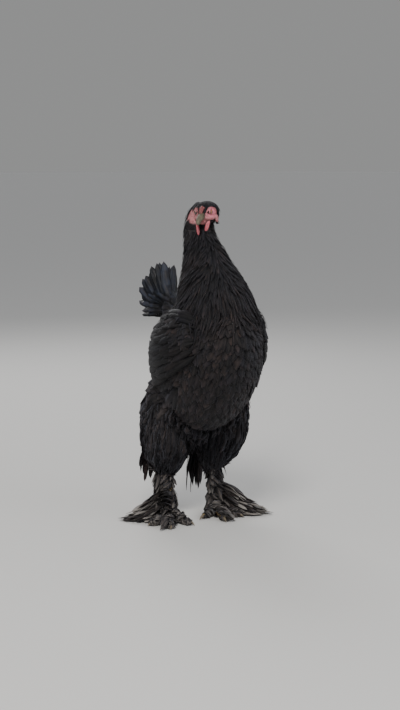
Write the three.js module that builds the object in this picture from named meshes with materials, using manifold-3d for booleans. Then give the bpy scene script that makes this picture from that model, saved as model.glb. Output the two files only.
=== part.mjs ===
// A black Brahma chicken standing tall, life size, in millimetres.
// +Z is up, the breast faces -Y and the bird's left side is +X. The sizes below are laid out
// from a point on the floor between the two feet, and the finished bird is then moved so that
// the origin is on the floor under the middle of its outline.

import * as THREE from "three";
import { mergeVertices } from "three/addons/utils/BufferGeometryUtils.js";
import Module from "manifold-3d";

const wasm = await Module();
wasm.setup();

const gap = 0.3; // between parts that touch
const degrees = Math.PI / 180;
const vec = (x, y, z) => new THREE.Vector3(x, y, z);
const mix = THREE.MathUtils.lerp;
const between = THREE.MathUtils.clamp;

// Driving sizes of the trunk, from the breast's front (at 0) to the tail's root (at 1)
const torso = {
  front: -206,
  rear: 122,
  rows: [
    { at: 0.0, middle: 402, up: 138, down: 150, side: 104 },
    { at: 0.25, middle: 388, up: 148, down: 168, side: 123 },
    { at: 0.5, middle: 370, up: 132, down: 168, side: 116 },
    { at: 0.75, middle: 358, up: 124, down: 150, side: 98 },
    { at: 1.0, middle: 392, up: 96, down: 130, side: 78 },
  ],
};

// The neck, by height
const neck = {
  foot: 425,
  top: 694,
  rows: [
    { at: 425, back: -98, lean: 0, radius: 84 },
    { at: 470, back: -92, lean: 0, radius: 84 },
    { at: 505, back: -80, lean: 0, radius: 74 },
    { at: 540, back: -66, lean: 0, radius: 61 },
    { at: 582, back: -47, lean: 0, radius: 46 },
    { at: 615, back: -30, lean: 0, radius: 37 },
    { at: 645, back: -19, lean: 3, radius: 33 },
    { at: 675, back: -22, lean: 7, radius: 27 },
    { at: 694, back: -30, lean: 8, radius: 16 },
  ],
};

// The head looks round to the bird's right. In its own frame the beak points along -Y, the
// left side is +X and the crown is +Z
const head = {
  centre: vec(3, -46, 674),
  turn: -50,
  nod: 18, // beak down
  roll: -2, // left eye up
  front: -32,
  rear: 36,
  rows: [
    { at: 0.0, middle: -4, up: 13, down: 13, side: 12 },
    { at: 0.2, middle: -2, up: 16, down: 17, side: 17 },
    { at: 0.45, middle: 0, up: 20, down: 24, side: 22 },
    { at: 0.75, middle: 0, up: 22, down: 34, side: 29 },
    { at: 1.0, middle: -6, up: 24, down: 36, side: 30 },
  ],
};
const eye = { ahead: 11, aside: 14.5, above: 5, radius: 6.2, lid: 1.5 };
const ear = {
  ahead: -10,
  below: 4,
  pit: 3,
  lobe: { aside: 24.5, ahead: -3, below: 15, long: 10, wide: 7, thick: 4 },
};
const beak = {
  root: 23,
  mouth: -3,
  upper: { length: 32, width: 8.6, height: 9, drop: -0.5, hook: 7 },
  lower: { length: 22, width: 7.4, height: 7, drop: -2.5, hook: 1 },
  nostril: { ahead: 31, aside: 6.6, above: 2.4, long: 2.8, high: 1.1 },
};
const mouthCorner = { front: vec(9, -23, -4), rear: vec(19, -12, -8), radius: 1 };
const comb = {
  back: 12,
  front: 28,
  low: 8,
  high: 15.5,
  rows: [-4, 0, 4],
  bulbs: 3,
  radius: 3.1,
  middle: 3.6,
};
const wattle = {
  ahead: 22,
  aside: 14,
  below: 26,
  wide: 11,
  long: 15,
  thick: 3.2,
  fold: 1.4,
  inward: 6,
  plumb: 0.5, // how far the lower end swings ahead of the root, as the head is bent down
};

// Each leg: hip, knee's outside, hock, the foot's middle and the way the toes point
const legs = {
  right: {
    side: -1, toes: -30,
    hip: vec(-54, 2, 330), knee: vec(-62, 10, 226), hock: vec(-58, 26, 128), foot: vec(-55, 0, 13),
    plume: { root: vec(-70, 30, 190), middle: vec(-80, 56, 130), tip: vec(-80, 66, 82) },
    fan: { from: vec(-66, 0, 0), to: vec(-166, 52, 0) },
  },
  left: {
    side: 1, toes: -14,
    hip: vec(60, -8, 330), knee: vec(74, -4, 226), hock: vec(60, 24, 128), foot: vec(55, 2, 13),
    plume: { root: vec(56, 32, 180), middle: vec(44, 62, 110), tip: vec(38, 66, 38) },
    fan: { from: vec(66, 10, 0), to: vec(172, -78, 0) },
  },
};
const thigh = {
  rows: [
    { at: 0, radius: 30 },
    { at: 0.2, radius: 48 },
    { at: 0.45, radius: 52 },
    { at: 0.75, radius: 45 },
    { at: 1, radius: 30 },
  ],
};
const shank = { hock: 13, middle: 10.5, ankle: 12 };

// Fluff of the thigh in rings, stiff hock feathers behind it, and feathers down the shank and toes
const fluff = {
  rings: [[0.3, 0.56], [0.54, 0.86], [0.8, 1.2]],
  count: 6,
  wide: 40,
  lift: [-3, 8],
  drop: 120, // fall of a feather that passes the hock, for each whole length of the thigh
};
const hocks = { count: 4, spread: 30, wide: 20, step: 16 };
const boots = {
  shank: { rows: [0.14, 0.52], count: 2, spread: 50, wide: 24, long: 54, flare: 22 },
  fan: {
    wide: 23,
    roots: 30, // width of the row of roots, across the fan
    tiers: [
      { count: 5, spread: 20, long: 1, high: 9, low: 2 },
      { count: 3, spread: 18, long: 0.72, high: 28, low: 13 },
    ],
  },
  toe: { name: "middle", places: [0.3, 0.65], wide: 15, long: 32, turn: 42 },
};
const sole = { x: 13, y: 14, z: 15.5 };
const toe = {
  radius: 7.5,
  tip: 5.2,
  arch: 3,
  sink: 1, // how far the tips and the sole are pressed flat
  each: [
    { name: "inner", turn: -42, length: 60 },
    { name: "middle", turn: 0, length: 76 },
    { name: "outer", turn: 40, length: 64 },
    { name: "hind", turn: 172, length: 36 },
  ],
};
const claw = { length: 15, radius: 3.6, tip: 0.5, sunk: 5 };

// Feathers: how far a root is sunk, and how thick a vane's middle is
const quill = { sunk: 4, thick: 1.7 };

// Hackle, in tiers down the neck: root and tip by height, then the cape over the shoulders
const hackle = {
  lift: 5,
  tiers: [
    { root: 656, tip: 606, count: 7, wide: 25 },
    { root: 624, tip: 566, count: 8, wide: 29 },
    { root: 588, tip: 526, count: 8, wide: 35 },
    { root: 550, tip: 488, count: 9, wide: 38 },
  ],
  cape: { root: 520, count: 11, wide: 38, lift: 7, reach: { front: 8, side: 14, back: 34 } },
};

// The folded wing on the trunk's side: each row runs from its lowest feather to its highest
const wing = {
  core: { front: 0.2, rear: 0.62, high: 42, low: -16, thick: 5, sunk: 6 },
  rows: [
    // flights
    {
      count: 7,
      wide: 28,
      lift: [1.5, 4.2],
      roots: [[0.42, -13], [0.56, 32]],
      tips: [[0.76, -21], [0.955, 36]],
    },
    // coverts
    {
      count: 5,
      wide: 32,
      lift: [2.5, 7.2],
      roots: [[0.3, -13], [0.4, 34]],
      tips: [[0.57, -18], [0.7, 37]],
    },
    // shoulder
    {
      count: 4,
      wide: 34,
      lift: [2, 8.4],
      roots: [[0.21, -6], [0.26, 34]],
      tips: [[0.42, -14], [0.48, 38]],
    },
  ],
};

// The tail is a fan of paired feathers whose sides fold back, under coverts that bend down
const tail = {
  root: vec(0, 95, 450),
  rise: 60,
  core: { wide: 20, thick: 15, long: 34 },
  rows: [
    { count: 7, spread: 30, long: 124, side: 112, wide: 26, deep: 0, bend: -6 },
    { count: 6, spread: 48, long: 96, side: 84, wide: 27, deep: 14, bend: 8 },
    { count: 5, spread: 78, long: 66, side: 60, wide: 28, deep: -14, bend: 26 },
  ],
  fold: 0.35,
};

// Saddle feathers over the back, from the cape to the tail
const saddle = { rows: [[0.6, 0.76], [0.72, 0.88]], count: 5, spread: 46, wide: 24, lift: 4.5 };

// A smooth curve through one column of a table, whose rows are placed by "at"
function column(rows, name) {
  const last = rows.length - 1;
  const slope = (row) => {
    const before = rows[Math.max(row - 1, 0)];
    const after = rows[Math.min(row + 1, last)];
    return (after[name] - before[name]) / (after.at - before.at);
  };
  return (at) => {
    let row = 0;
    while (row < last - 1 && at > rows[row + 1].at) row += 1;
    const [low, high] = [rows[row], rows[row + 1]];
    const span = high.at - low.at;
    const s = between((at - low.at) / span, 0, 1);
    const bend = s * s * (3 - 2 * s);
    const pull = s * (1 - s) * span;
    return mix(low[name], high[name], bend) + pull * ((1 - s) * slope(row) - s * slope(row + 1));
  };
}

// A closed three.js geometry as a solid, with each of its vertices moved by place
function solid(geometry, place = (point) => point) {
  const plain = geometry.clone();
  plain.deleteAttribute("normal");
  plain.deleteAttribute("uv");
  const merged = plain.index ? mergeVertices(plain, 1e-5) : plain;
  const position = merged.getAttribute("position");
  const vertProperties = new Float32Array(position.count * 3);
  for (let i = 0; i < position.count; i += 1) {
    place(vec().fromBufferAttribute(position, i)).toArray(vertProperties, i * 3);
  }
  const triVerts = new Uint32Array(merged.index.array);
  const make = () => new wasm.Manifold(new wasm.Mesh({ numProp: 3, vertProperties, triVerts }));
  const made = make();
  if (made.volume() > 0) return made;
  for (let i = 0; i < triVerts.length; i += 3) {
    [triVerts[i + 1], triVerts[i + 2]] = [triVerts[i + 2], triVerts[i + 1]];
  }
  return make();
}

const join = (...solids) => solids.flat().reduce((whole, piece) => whole.add(piece));

// The largest closed surface of a solid, without sealed hollows or scraps
function largest(whole) {
  return whole.decompose().reduce((best, piece) => (piece.volume() > best.volume() ? piece : best));
}

function ball(centre, x, y = x, z = x, around = 10, rings = 7) {
  const size = vec(x, y, z);
  return solid(new THREE.SphereGeometry(1, around, rings), (p) => p.multiply(size).add(centre));
}

// A round body between two poles on the Y axis: angle 0 is its left side and 90 its top
function bodyChart(body) {
  const [middle, up, down, side] = ["middle", "up", "down", "side"].map((name) => column(body.rows, name));
  const surface = (at, angle) => {
    const ring = Math.sqrt(Math.max(4 * at * (1 - at), 0));
    const rise = Math.sin(angle * degrees);
    const height = rise > 0 ? up(at) : down(at);
    return vec(
      side(at) * ring * Math.cos(angle * degrees),
      mix(body.front, body.rear, at),
      middle(at) + height * ring * rise,
    );
  };
  return { surface, middle, up, down, side, body };
}

// The outward direction of a chart, by small steps along and round it
function outward(chart, at, angle) {
  const step = 0.004;
  const low = between(at, step, 1 - step);
  const along = chart.surface(low + step / 2, angle).sub(chart.surface(low - step / 2, angle));
  const round = chart.surface(low, angle + 0.5).sub(chart.surface(low, angle - 0.5));
  return along.cross(round).normalize();
}

// A chart's surface moved outward by lift
function lifted(chart, at, angle, lift) {
  return chart.surface(at, angle).addScaledVector(outward(chart, at, angle), lift);
}

// The whole solid of a round body, swollen by grow
function bodySolid(chart, grow = 0, around = 20, rings = 12) {
  return solid(new THREE.SphereGeometry(1, around, rings), (p) => {
    const at = (1 - p.y) / 2;
    const angle = Math.atan2(p.z, p.x) / degrees;
    return Math.abs(p.y) > 0.9999
      ? chart.surface(at, 0).add(vec(0, p.y > 0 ? -grow : grow, 0))
      : lifted(chart, at, angle, grow);
  });
}

// A tube along a line of centres; turn 0 faces forward and 90 the left
function tubeChart(centre, radius) {
  return {
    surface: (at, turn) =>
      centre(at).add(vec(Math.sin(turn * degrees), -Math.cos(turn * degrees), 0).multiplyScalar(radius(at))),
  };
}

function tubeSolid(chart, centre, grow) {
  return solid(new THREE.CylinderGeometry(1, 1, 1, 14, 6), (p) => {
    const at = 0.5 - p.y;
    const off = chart.surface(at, Math.atan2(p.x, -p.z) / degrees).sub(centre(at));
    const reach = Math.hypot(p.x, p.z);
    return centre(at).addScaledVector(off, (reach * (off.length() + grow)) / off.length());
  });
}

// Trunk
const trunk = bodyChart(torso);
const trunkSolid = bodySolid(trunk);
const trunkGrown = bodySolid(trunk, gap);

// Neck
const neckBack = column(neck.rows, "back");
const neckLean = column(neck.rows, "lean");
const neckRadius = column(neck.rows, "radius");
const neckHeight = (at) => mix(neck.top, neck.foot, at);
const neckCentre = (at) => vec(neckLean(neckHeight(at)), neckBack(neckHeight(at)), neckHeight(at));
const neckChart = tubeChart(neckCentre, (at) => neckRadius(neckHeight(at)));

// Head: its own frame has the beak along -Y, the left side along +X and the crown along +Z
const headFrame = new THREE.Matrix4()
  .makeTranslation(head.centre)
  .multiply(new THREE.Matrix4().makeRotationZ(head.turn * degrees))
  .multiply(new THREE.Matrix4().makeRotationX(head.nod * degrees))
  .multiply(new THREE.Matrix4().makeRotationY(head.roll * degrees));
const skull = bodyChart(head);
const onHead = (whole) => whole.transform(headFrame.elements.slice());

// A tapered, bent rod: size(s) gives its radius and path(s) its line, from root to tip. Its
// sections are turned so that side lies across them
function rod(path, size, { grow = 0, around = 8, rings = 5, side = vec(1, 0, 0) } = {}) {
  return solid(new THREE.CylinderGeometry(1, 1, 1, around, rings), (p) => {
    const s = p.y + 0.5;
    const line = path(Math.min(s + 0.02, 1)).sub(path(Math.max(s - 0.02, 0))).normalize();
    const across = side.clone().addScaledVector(line, -side.dot(line)).normalize();
    const over = line.clone().cross(across);
    const reach = size(s) + grow;
    return path(s).addScaledVector(across, p.x * reach).addScaledVector(over, p.z * reach);
  });
}

// A line through three points, with the middle one on it
function through(a, b, c) {
  const pull = b.clone().multiplyScalar(2).sub(a.clone().add(c).multiplyScalar(0.5));
  return new THREE.QuadraticBezierCurve3(a, pull, c);
}

// A feather as a thin vane with a ridge along both faces: path(s) is its line from root to tip
// and face(s) the direction that its upper face looks in. tilt lifts one of its edges
function vane({ path, face, wide, tilt = 0, thick = quill.thick, grow = 0, rings = 3 }) {
  const points = [];
  for (let i = 0; i < rings; i += 1) {
    const s = 1 - (1 - i / rings) ** 1.4;
    const line = path(s + 0.02).sub(path(Math.max(s - 0.02, 0))).normalize();
    const across = line.clone().cross(face(s)).normalize();
    const over = across.clone().cross(line);
    across.addScaledVector(over, tilt).normalize();
    const half = (wide / 2) * (0.55 + 1.5 * s - 1.15 * s * s) + grow;
    const high = (thick / 2) * (1 - 0.3 * s) + grow;
    for (const [x, z] of [[-half, 0], [0, high], [half, 0], [0, -high]]) {
      points.push(path(s).addScaledVector(across, x).addScaledVector(over, z));
    }
  }
  const tip = path(1);
  points.push(tip.add(tip.clone().sub(path(0.96)).setLength(3 * grow)));
  const corners = [2, 1, 0, 3, 2, 0];
  for (let i = 0; i < rings - 1; i += 1) {
    const [left, top, right, under] = [0, 1, 2, 3].map((k) => 4 * i + k);
    const sides = [[left, top, 0], [left, under, 1], [right, top, 1], [right, under, 0]];
    for (const [edge, ridge, flip] of sides) {
      const quad = [edge, ridge, ridge + 4, edge, ridge + 4, edge + 4];
      corners.push(...(flip ? quad.reverse() : quad));
    }
  }
  const [last, end] = [4 * (rings - 1), 4 * rings];
  corners.push(last, last + 1, end, last + 1, last + 2, end, last + 2, last + 3, end, last + 3, last, end);
  const geometry = new THREE.BufferGeometry().setFromPoints(points);
  geometry.setIndex(corners);
  return solid(geometry);
}

const blend = ([from, to], s) => mix(from, to, s);
const evenly = (count) => Array.from({ length: count }, (_, i) => i / (count - 1));
const facing = (turn) => vec(Math.sin(turn * degrees), -Math.cos(turn * degrees), 0);

const block = (x, y, z, centre) => solid(new THREE.BoxGeometry(x, y, z), (p) => p.add(centre));
const floorCut = block(900, 900, 900, vec(0, 0, 450));

// Points on both sides of the head: side is 1 for the left and -1 for the right
const faceward = (side, aside, ahead, above) => vec(side * aside, -ahead, above);

// Horn beak: each half is a bent cone, the upper one hooked over the lower
function beakHalf(size, grow = 0) {
  return solid(new THREE.SphereGeometry(1, 10, 9), (p) => {
    const s = (1 - p.y) / 2;
    const full = Math.sqrt(Math.max(1 - s ** 1.8, 0));
    const ring = Math.hypot(p.x, p.z);
    const [across, up] = ring > 1e-6 ? [p.x / ring, p.z / ring] : [0, 0];
    const out = ring > 1e-6 ? 1 : 0;
    return vec(
      across * (size.width * full + grow * out),
      -beak.root - s * (size.length + grow),
      size.drop - size.hook * s * s + up * (size.height * full + grow * out),
    );
  });
}

function beakParts(skullGrown) {
  const lowerTop = block(60, 80, 40, vec(0, -50, beak.mouth - gap - 20));
  const lower = beakHalf(beak.lower).intersect(lowerTop);
  const reach = beak.root + beak.lower.length + 1;
  const mouth = block(60, 80, 40, vec(0, 40 - reach, beak.mouth - 20));
  const { ahead, aside, above, long, high } = beak.nostril;
  const nostrils = [1, -1].map((side) => ball(faceward(side, aside, ahead, above), 2, long, high, 6, 4));
  const upper = beakHalf(beak.upper).subtract(join(mouth, beakHalf(beak.lower, gap), nostrils));
  return { upper: upper.subtract(skullGrown), lower: lower.subtract(skullGrown) };
}

// Pea comb: three rows of low bulbs on one base, the middle row highest
function combSolid() {
  const { back, front, low, high, rows, bulbs, radius, middle } = comb;
  const ridge = (s) => mix(high, low, s * s);
  const line = (s) => vec(0, -mix(back, front, s), ridge(s) - 2);
  const base = rod(line, (s) => 5.4 - 2 * s, { around: 8, rings: 4 });
  const studs = rows.flatMap((aside, row) => {
    const count = bulbs + (aside === 0 ? 1 : 0);
    return Array.from({ length: count }, (_, i) => {
      const s = (i + 0.4) / count;
      const size = (aside === 0 ? middle : radius) * (1 - 0.25 * s) * (1 + 0.08 * Math.sin(5 * i + row));
      const lift = (aside === 0 ? 3.4 : 1.8) + 0.4 * Math.sin(3 * i + row);
      return ball(line(s).add(vec(aside * (1 - 0.3 * s), 0, lift)), size, size * 1.1, size, 5, 3);
    });
  });
  return join(base, studs);
}

// Wattle: a hanging flap with soft folds, turned in towards the throat at its lower end
function wattleSolid(side, grow = 0) {
  const { ahead, aside, below, wide, long, thick, fold, inward, plumb } = wattle;
  return solid(new THREE.SphereGeometry(1, 10, 9), (p) => {
    const down = (1 - p.z) / 2;
    const across = p.y * (wide * (1 - 0.25 * down) + grow);
    const ripple = fold * Math.sin(4.5 * p.y + 1) * down;
    const sheet = p.x * (thick * (0.7 + 0.5 * down) + grow);
    const out = aside - inward * down + (1 - down) * 0.35 * across + ripple + sheet;
    return faceward(side, out, ahead - across + 2 * plumb * long * down, -below + p.z * (long + grow));
  });
}

// Lids: a thick ring round each eye, heavier above, as a bent rod closed on itself in two arcs
function lidSolid(side, grow = 0) {
  const centre = faceward(side, eye.aside + 3.4, eye.ahead + 0.6, eye.above);
  const arc = (from, to, radius, size) => {
    const path = (s) => {
      const angle = mix(from, to, s) * degrees;
      return centre.clone().add(vec(0, Math.cos(angle) * radius, Math.sin(angle) * radius * 0.9));
    };
    return rod(path, size, { grow, around: 4, rings: 5 });
  };
  const upper = arc(-12, 192, eye.radius - 0.6, (s) => eye.lid * (0.8 + 0.5 * Math.sin(Math.PI * s)));
  const lower = arc(172, 368, eye.radius - 0.4, (s) => eye.lid * (0.7 + 0.25 * Math.sin(Math.PI * s)));
  const brow = rod(
    (s) => faceward(side, mix(16.5, 19, s), mix(20, -4, s), mix(6, 9, Math.sin(Math.PI * s)) + 4 * s),
    (s) => 1.2 + 1.6 * Math.sin(Math.PI * s),
    { grow, around: 4, rings: 4 },
  );
  return join(upper, lower, brow);
}

// The skull with its lids and ear lobes, swollen by grow
function skullSolid(grow = 0) {
  const { lobe } = ear;
  const lobes = [1, -1].map((side) => {
    const centre = faceward(side, lobe.aside, lobe.ahead, -lobe.below);
    return ball(centre, lobe.thick + grow, lobe.wide + grow, lobe.long + grow, 8, 6);
  });
  return join(bodySolid(skull, grow, 16, 10), lobes, [1, -1].map((side) => lidSolid(side, grow)));
}

function orb(side, grow = 0) {
  const size = eye.radius + grow;
  return ball(faceward(side, eye.aside, eye.ahead, eye.above), size, size, size, 12, 8);
}

function headSolid() {
  const sides = [1, -1];
  const sockets = sides.map((side) => orb(side, gap));
  const pits = sides.map((side) => ball(faceward(side, 27.5, ear.ahead, -ear.below), ear.pit, 3.4, 3, 6, 5));
  const gapes = sides.map((side) => {
    const { front, rear, radius } = mouthCorner;
    const line = (s) => front.clone().lerp(rear, s).multiply(vec(side, 1, 1));
    return rod(line, () => radius, { around: 6, rings: 3, side: vec(0, 0, 1) });
  });
  return skullSolid().subtract(join(sockets, pits, gapes));
}

// Places on the floor: turn 0 is straight ahead of the bird and positive turns are to its left
const onFloor = (turn, length, centre, height) =>
  vec(centre.x + Math.sin(turn * degrees) * length, centre.y - Math.cos(turn * degrees) * length, height);

function toeLine(leg, each) {
  const turn = leg.toes + each.turn * leg.side;
  const root = onFloor(turn, 4, leg.foot, toe.radius);
  const middle = onFloor(turn, each.length * 0.6, leg.foot, toe.radius + toe.arch);
  const tip = onFloor(turn, each.length, leg.foot, toe.tip - toe.sink);
  return { turn, curve: new THREE.QuadraticBezierCurve3(root, middle, tip), tip };
}

const acrossFloor = (turn) => vec(Math.cos(turn * degrees), Math.sin(turn * degrees), 0);

function toeSolid(line, grow = 0) {
  const size = (s) => mix(toe.radius, toe.tip, s) * (s > 0.99 ? 0.6 : 1);
  return rod((s) => line.curve.getPoint(s), size, { grow, rings: 6, side: acrossFloor(line.turn) });
}

function clawSolid(leg, line, grow = 0) {
  const from = onFloor(line.turn, -claw.sunk, line.tip, toe.tip);
  const middle = onFloor(line.turn, claw.length * 0.4, line.tip, toe.tip + 0.8);
  const to = onFloor(line.turn, claw.length, line.tip, 1);
  const path = through(from, middle, to);
  const size = (s) => mix(claw.radius, claw.tip, s ** 1.5);
  const options = { grow, around: 6, rings: 3, side: acrossFloor(line.turn) };
  const nail = rod((s) => path.getPoint(s), size, options);
  return largest(nail.subtract(toeSolid(line, gap)).intersect(floorCut));
}

// Fluff in rings round the thigh, each feather lying down the leg
function fluffFeathers(line, radius) {
  return fluff.rings.flatMap((ring, row) =>
    Array.from({ length: fluff.count }, (_, i) => {
      const out = facing((360 * (i + 0.5 * (row % 2))) / fluff.count);
      const path = (s) => {
        const at = blend(ring, s);
        const low = Math.max(at - 1, 0) * fluff.drop;
        const reach = radius(Math.min(at, 1)) + blend(fluff.lift, s) - low * 0.3;
        return line.getPoint(Math.min(at, 1)).addScaledVector(out, reach).add(vec(0, 0, -low));
      };
      return vane({ path, face: () => out, wide: fluff.wide * (1 - 0.14 * row), tilt: 0.14, rings: 2 });
    }));
}

// Stiff feathers behind the hock, pointing down and back
function hockFeathers({ root, middle, tip }) {
  const back = tip.clone().sub(root).setZ(0).normalize();
  const across = vec(-back.y, back.x, 0);
  return evenly(hocks.count).map((u, i) => {
    const aside = hocks.spread * (u - 0.5);
    const rise = hocks.step * ((i * 2) % 3);
    const deep = (i % 2) * -6;
    const shifted = (point, spread, up) =>
      point.clone().addScaledVector(across, aside * spread).addScaledVector(back, deep).add(vec(0, 0, up));
    const line = through(shifted(root, 0.7, 0), shifted(middle, 1, rise * 0.5), shifted(tip, 1.4, rise));
    const path = (s) => line.getPoint(Math.min(s, 1));
    return vane({ path, face: () => back, wide: hocks.wide, tilt: 0.1 });
  });
}

// Feathers down the outside of the shank, over the foot in a fan and along the middle toe
function bootFeathers(leg, shankLine, lines, grow) {
  const made = [];
  const add = (from, bend, to, face, wide) => {
    const line = through(from, bend, to);
    const path = (s) => line.getPoint(Math.min(s, 1));
    made.push(vane({ path, face: () => face, wide, grow, tilt: 0.1, rings: 2 }));
  };
  for (const at of boots.shank.rows) {
    for (const u of evenly(boots.shank.count)) {
      const out = facing(leg.side * (90 + boots.shank.spread * (u - 0.5)));
      const from = shankLine.getPoint(at).addScaledVector(out, shank.middle - quill.sunk);
      const low = Math.max(from.z - boots.shank.long, 3);
      const tip = from.clone().addScaledVector(out, boots.shank.flare).setZ(low);
      const bend = from.clone().lerp(tip, 0.5).addScaledVector(out, 3);
      add(from, bend, tip, out, boots.shank.wide);
    }
  }
  const { from, to } = leg.fan;
  const turn = Math.atan2(to.x - from.x, from.y - to.y) / degrees;
  const length = to.distanceTo(from);
  const { fan } = boots;
  for (const { count, spread, long, high, low } of fan.tiers) {
    for (const u of evenly(count)) {
      const way = facing(turn + 2 * spread * (u - 0.5));
      const reach = length * long * (1 - 0.25 * Math.abs(2 * u - 1));
      const start = from.clone().addScaledVector(acrossFloor(turn), fan.roots * (u - 0.5));
      const root = start.clone().addScaledVector(way, -8).setZ(high);
      const bend = start.clone().addScaledVector(way, reach * 0.45).setZ(high + 3);
      add(root, bend, start.clone().addScaledVector(way, reach).setZ(low), vec(0, 0, 1), fan.wide);
    }
  }
  const { curve, turn: ahead } = lines.find(({ name }) => name === boots.toe.name);
  for (const at of boots.toe.places) {
    const way = facing(ahead + leg.side * boots.toe.turn);
    const root = curve.getPoint(at);
    const tip = root.clone().addScaledVector(way, boots.toe.long).setZ(2);
    add(root, root.clone().lerp(tip, 0.5).setZ(root.z + 3), tip, vec(0, 0, 1), boots.toe.wide);
  }
  return made;
}

function legNodes(name, leg) {
  const shankLine = new THREE.LineCurve3(leg.hock.clone().setZ(leg.hock.z - gap), leg.foot);
  const upper = (s) => mix(shank.hock, shank.middle, Math.min(2 * s, 1));
  const thick = (s) => mix(upper(s), shank.ankle, Math.max(2 * s - 1, 0));
  const lines = toe.each.map((each) => ({ ...toeLine(leg, each), name: each.name }));
  const above = block(400, 400, 200, vec(leg.hock.x, leg.hock.y, leg.hock.z - gap + 100));
  const below = block(400, 400, 200, vec(leg.hock.x, leg.hock.y, leg.hock.z - 100));
  const nails = join(lines.map((run) => clawSolid(leg, run, gap)));
  const foot = (grow) => join(
    rod((s) => shankLine.getPoint(s), thick, { grow, around: 10, rings: 4 }).subtract(above),
    ball(leg.foot, sole.x + grow, sole.y + grow, sole.z + grow, 10, 8),
    lines.map((line) => toeSolid(line, grow)),
    bootFeathers(leg, shankLine, lines, grow),
  ).intersect(floorCut).subtract(nails);
  const line = new THREE.CatmullRomCurve3([leg.hip, leg.knee, leg.hock]);
  const radius = column(thigh.rows, "radius");
  const flesh = rod((s) => line.getPoint(s), radius, { around: 12, rings: 6 }).subtract(below);
  const plumage = join(flesh, fluffFeathers(line, radius), hockFeathers(leg.plume));
  parts.set("foot_" + name, largest(foot(0)));
  const around = join(trunkGrown, foot(gap), wingSolid(leg.side, gap));
  parts.set("thigh_" + name, largest(plumage.subtract(around)));
  lines.forEach((run) => parts.set(`claw_${name}_${run.name}`, clawSolid(leg, run)));
}

// A feather lying on the trunk from one place to another, each given by its place along and angle
function onBack(from, to, lift, wide, tilt, grow) {
  const at = (s) => between(mix(from[0], to[0], s), 0.02, 0.98);
  const angle = (s) => mix(from[1], to[1], s);
  const path = (s) => lifted(trunk, at(s), angle(s), mix(lift[0], lift[1], Math.min(s, 1) ** 0.7));
  return vane({ path, face: (s) => outward(trunk, at(s), angle(s)), wide, tilt, grow });
}

// The folded wing: a thin core under three rows of feathers, each lying over the one below it
function wingSolid(side, grow = 0) {
  const turned = ([at, angle]) => [at, side > 0 ? angle : 180 - angle];
  const { core } = wing;
  const base = solid(new THREE.SphereGeometry(1, 12, 8), (p) => {
    const [at, angle] = [mix(core.front, core.rear, (1 - p.y) / 2), mix(core.low, core.high, (1 + p.z) / 2)];
    return lifted(trunk, ...turned([at, angle]), mix(-core.sunk, core.thick + grow, (1 + p.x) / 2));
  });
  const place = ([low, top], u) => turned([mix(low[0], top[0], u), mix(low[1], top[1], u)]);
  const feathers = wing.rows.flatMap(({ count, wide, lift, roots, tips }) =>
    evenly(count).map((u) => onBack(place(roots, u), place(tips, u), lift, wide, 0.14 * side, grow)));
  return join(base, feathers);
}

function saddleFeathers(grow = 0) {
  return saddle.rows.flatMap((row, tier) =>
    evenly(saddle.count).map((u) => {
      const angle = 90 + saddle.spread * (u - 0.5) * (1 - 0.2 * tier);
      return onBack([row[0], angle], [row[1], angle], [-quill.sunk, saddle.lift], saddle.wide, 0.1, grow);
    }));
}

// Hackle feathers hang down the neck in tiers, and the last tier spreads over the shoulders
function neckFeathers(grow = 0) {
  const at = (height) => (neck.top - height) / (neck.top - neck.foot);
  const hanging = hackle.tiers.flatMap((tier, row) =>
    Array.from({ length: tier.count }, (_, i) => {
      const turn = (360 * (i + 0.5 * (row % 2))) / tier.count;
      const out = facing(turn);
      const path = (s) => neckChart.surface(at(mix(tier.root, tier.tip, s)), turn)
        .addScaledVector(out, mix(-quill.sunk, hackle.lift, Math.min(s, 1) ** 0.7));
      return vane({ path, face: () => out, wide: tier.wide, tilt: 0.14, grow, rings: 2 });
    }));
  const { cape } = hackle;
  const [foot, radius] = [neckCentre(at(470)), neckRadius(470)];
  const spread = Array.from({ length: cape.count }, (_, i) => {
    const turn = (360 * (i + 0.5)) / cape.count;
    const out = facing(turn);
    const ahead = Math.cos(turn * degrees);
    const reach = mix(cape.reach.side, ahead > 0 ? cape.reach.front : cape.reach.back, Math.abs(ahead));
    const edge = foot.clone().addScaledVector(out, radius + reach);
    const root = neckChart.surface(at(cape.root), turn).addScaledVector(out, -quill.sunk);
    const bend = neckChart.surface(at(cape.root - 38), turn).addScaledVector(out, 4);
    const line = through(root, bend, onTrunkTop(edge.x, edge.y, cape.lift));
    const path = (s) => line.getPoint(Math.min(s, 1));
    return vane({ path, face: () => out.clone().setZ(0.6), wide: cape.wide, tilt: 0.14, grow });
  });
  return [...hanging, ...spread];
}

// The place on the upper half of the trunk over a point, lifted off it
function onTrunkTop(x, y, lift) {
  const at = between((y - torso.front) / (torso.rear - torso.front), 0.03, 0.97);
  const reach = trunk.side(at) * Math.sqrt(4 * at * (1 - at));
  return lifted(trunk, at, Math.acos(between(x / reach, -0.96, 0.96)) / degrees, lift);
}

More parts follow.
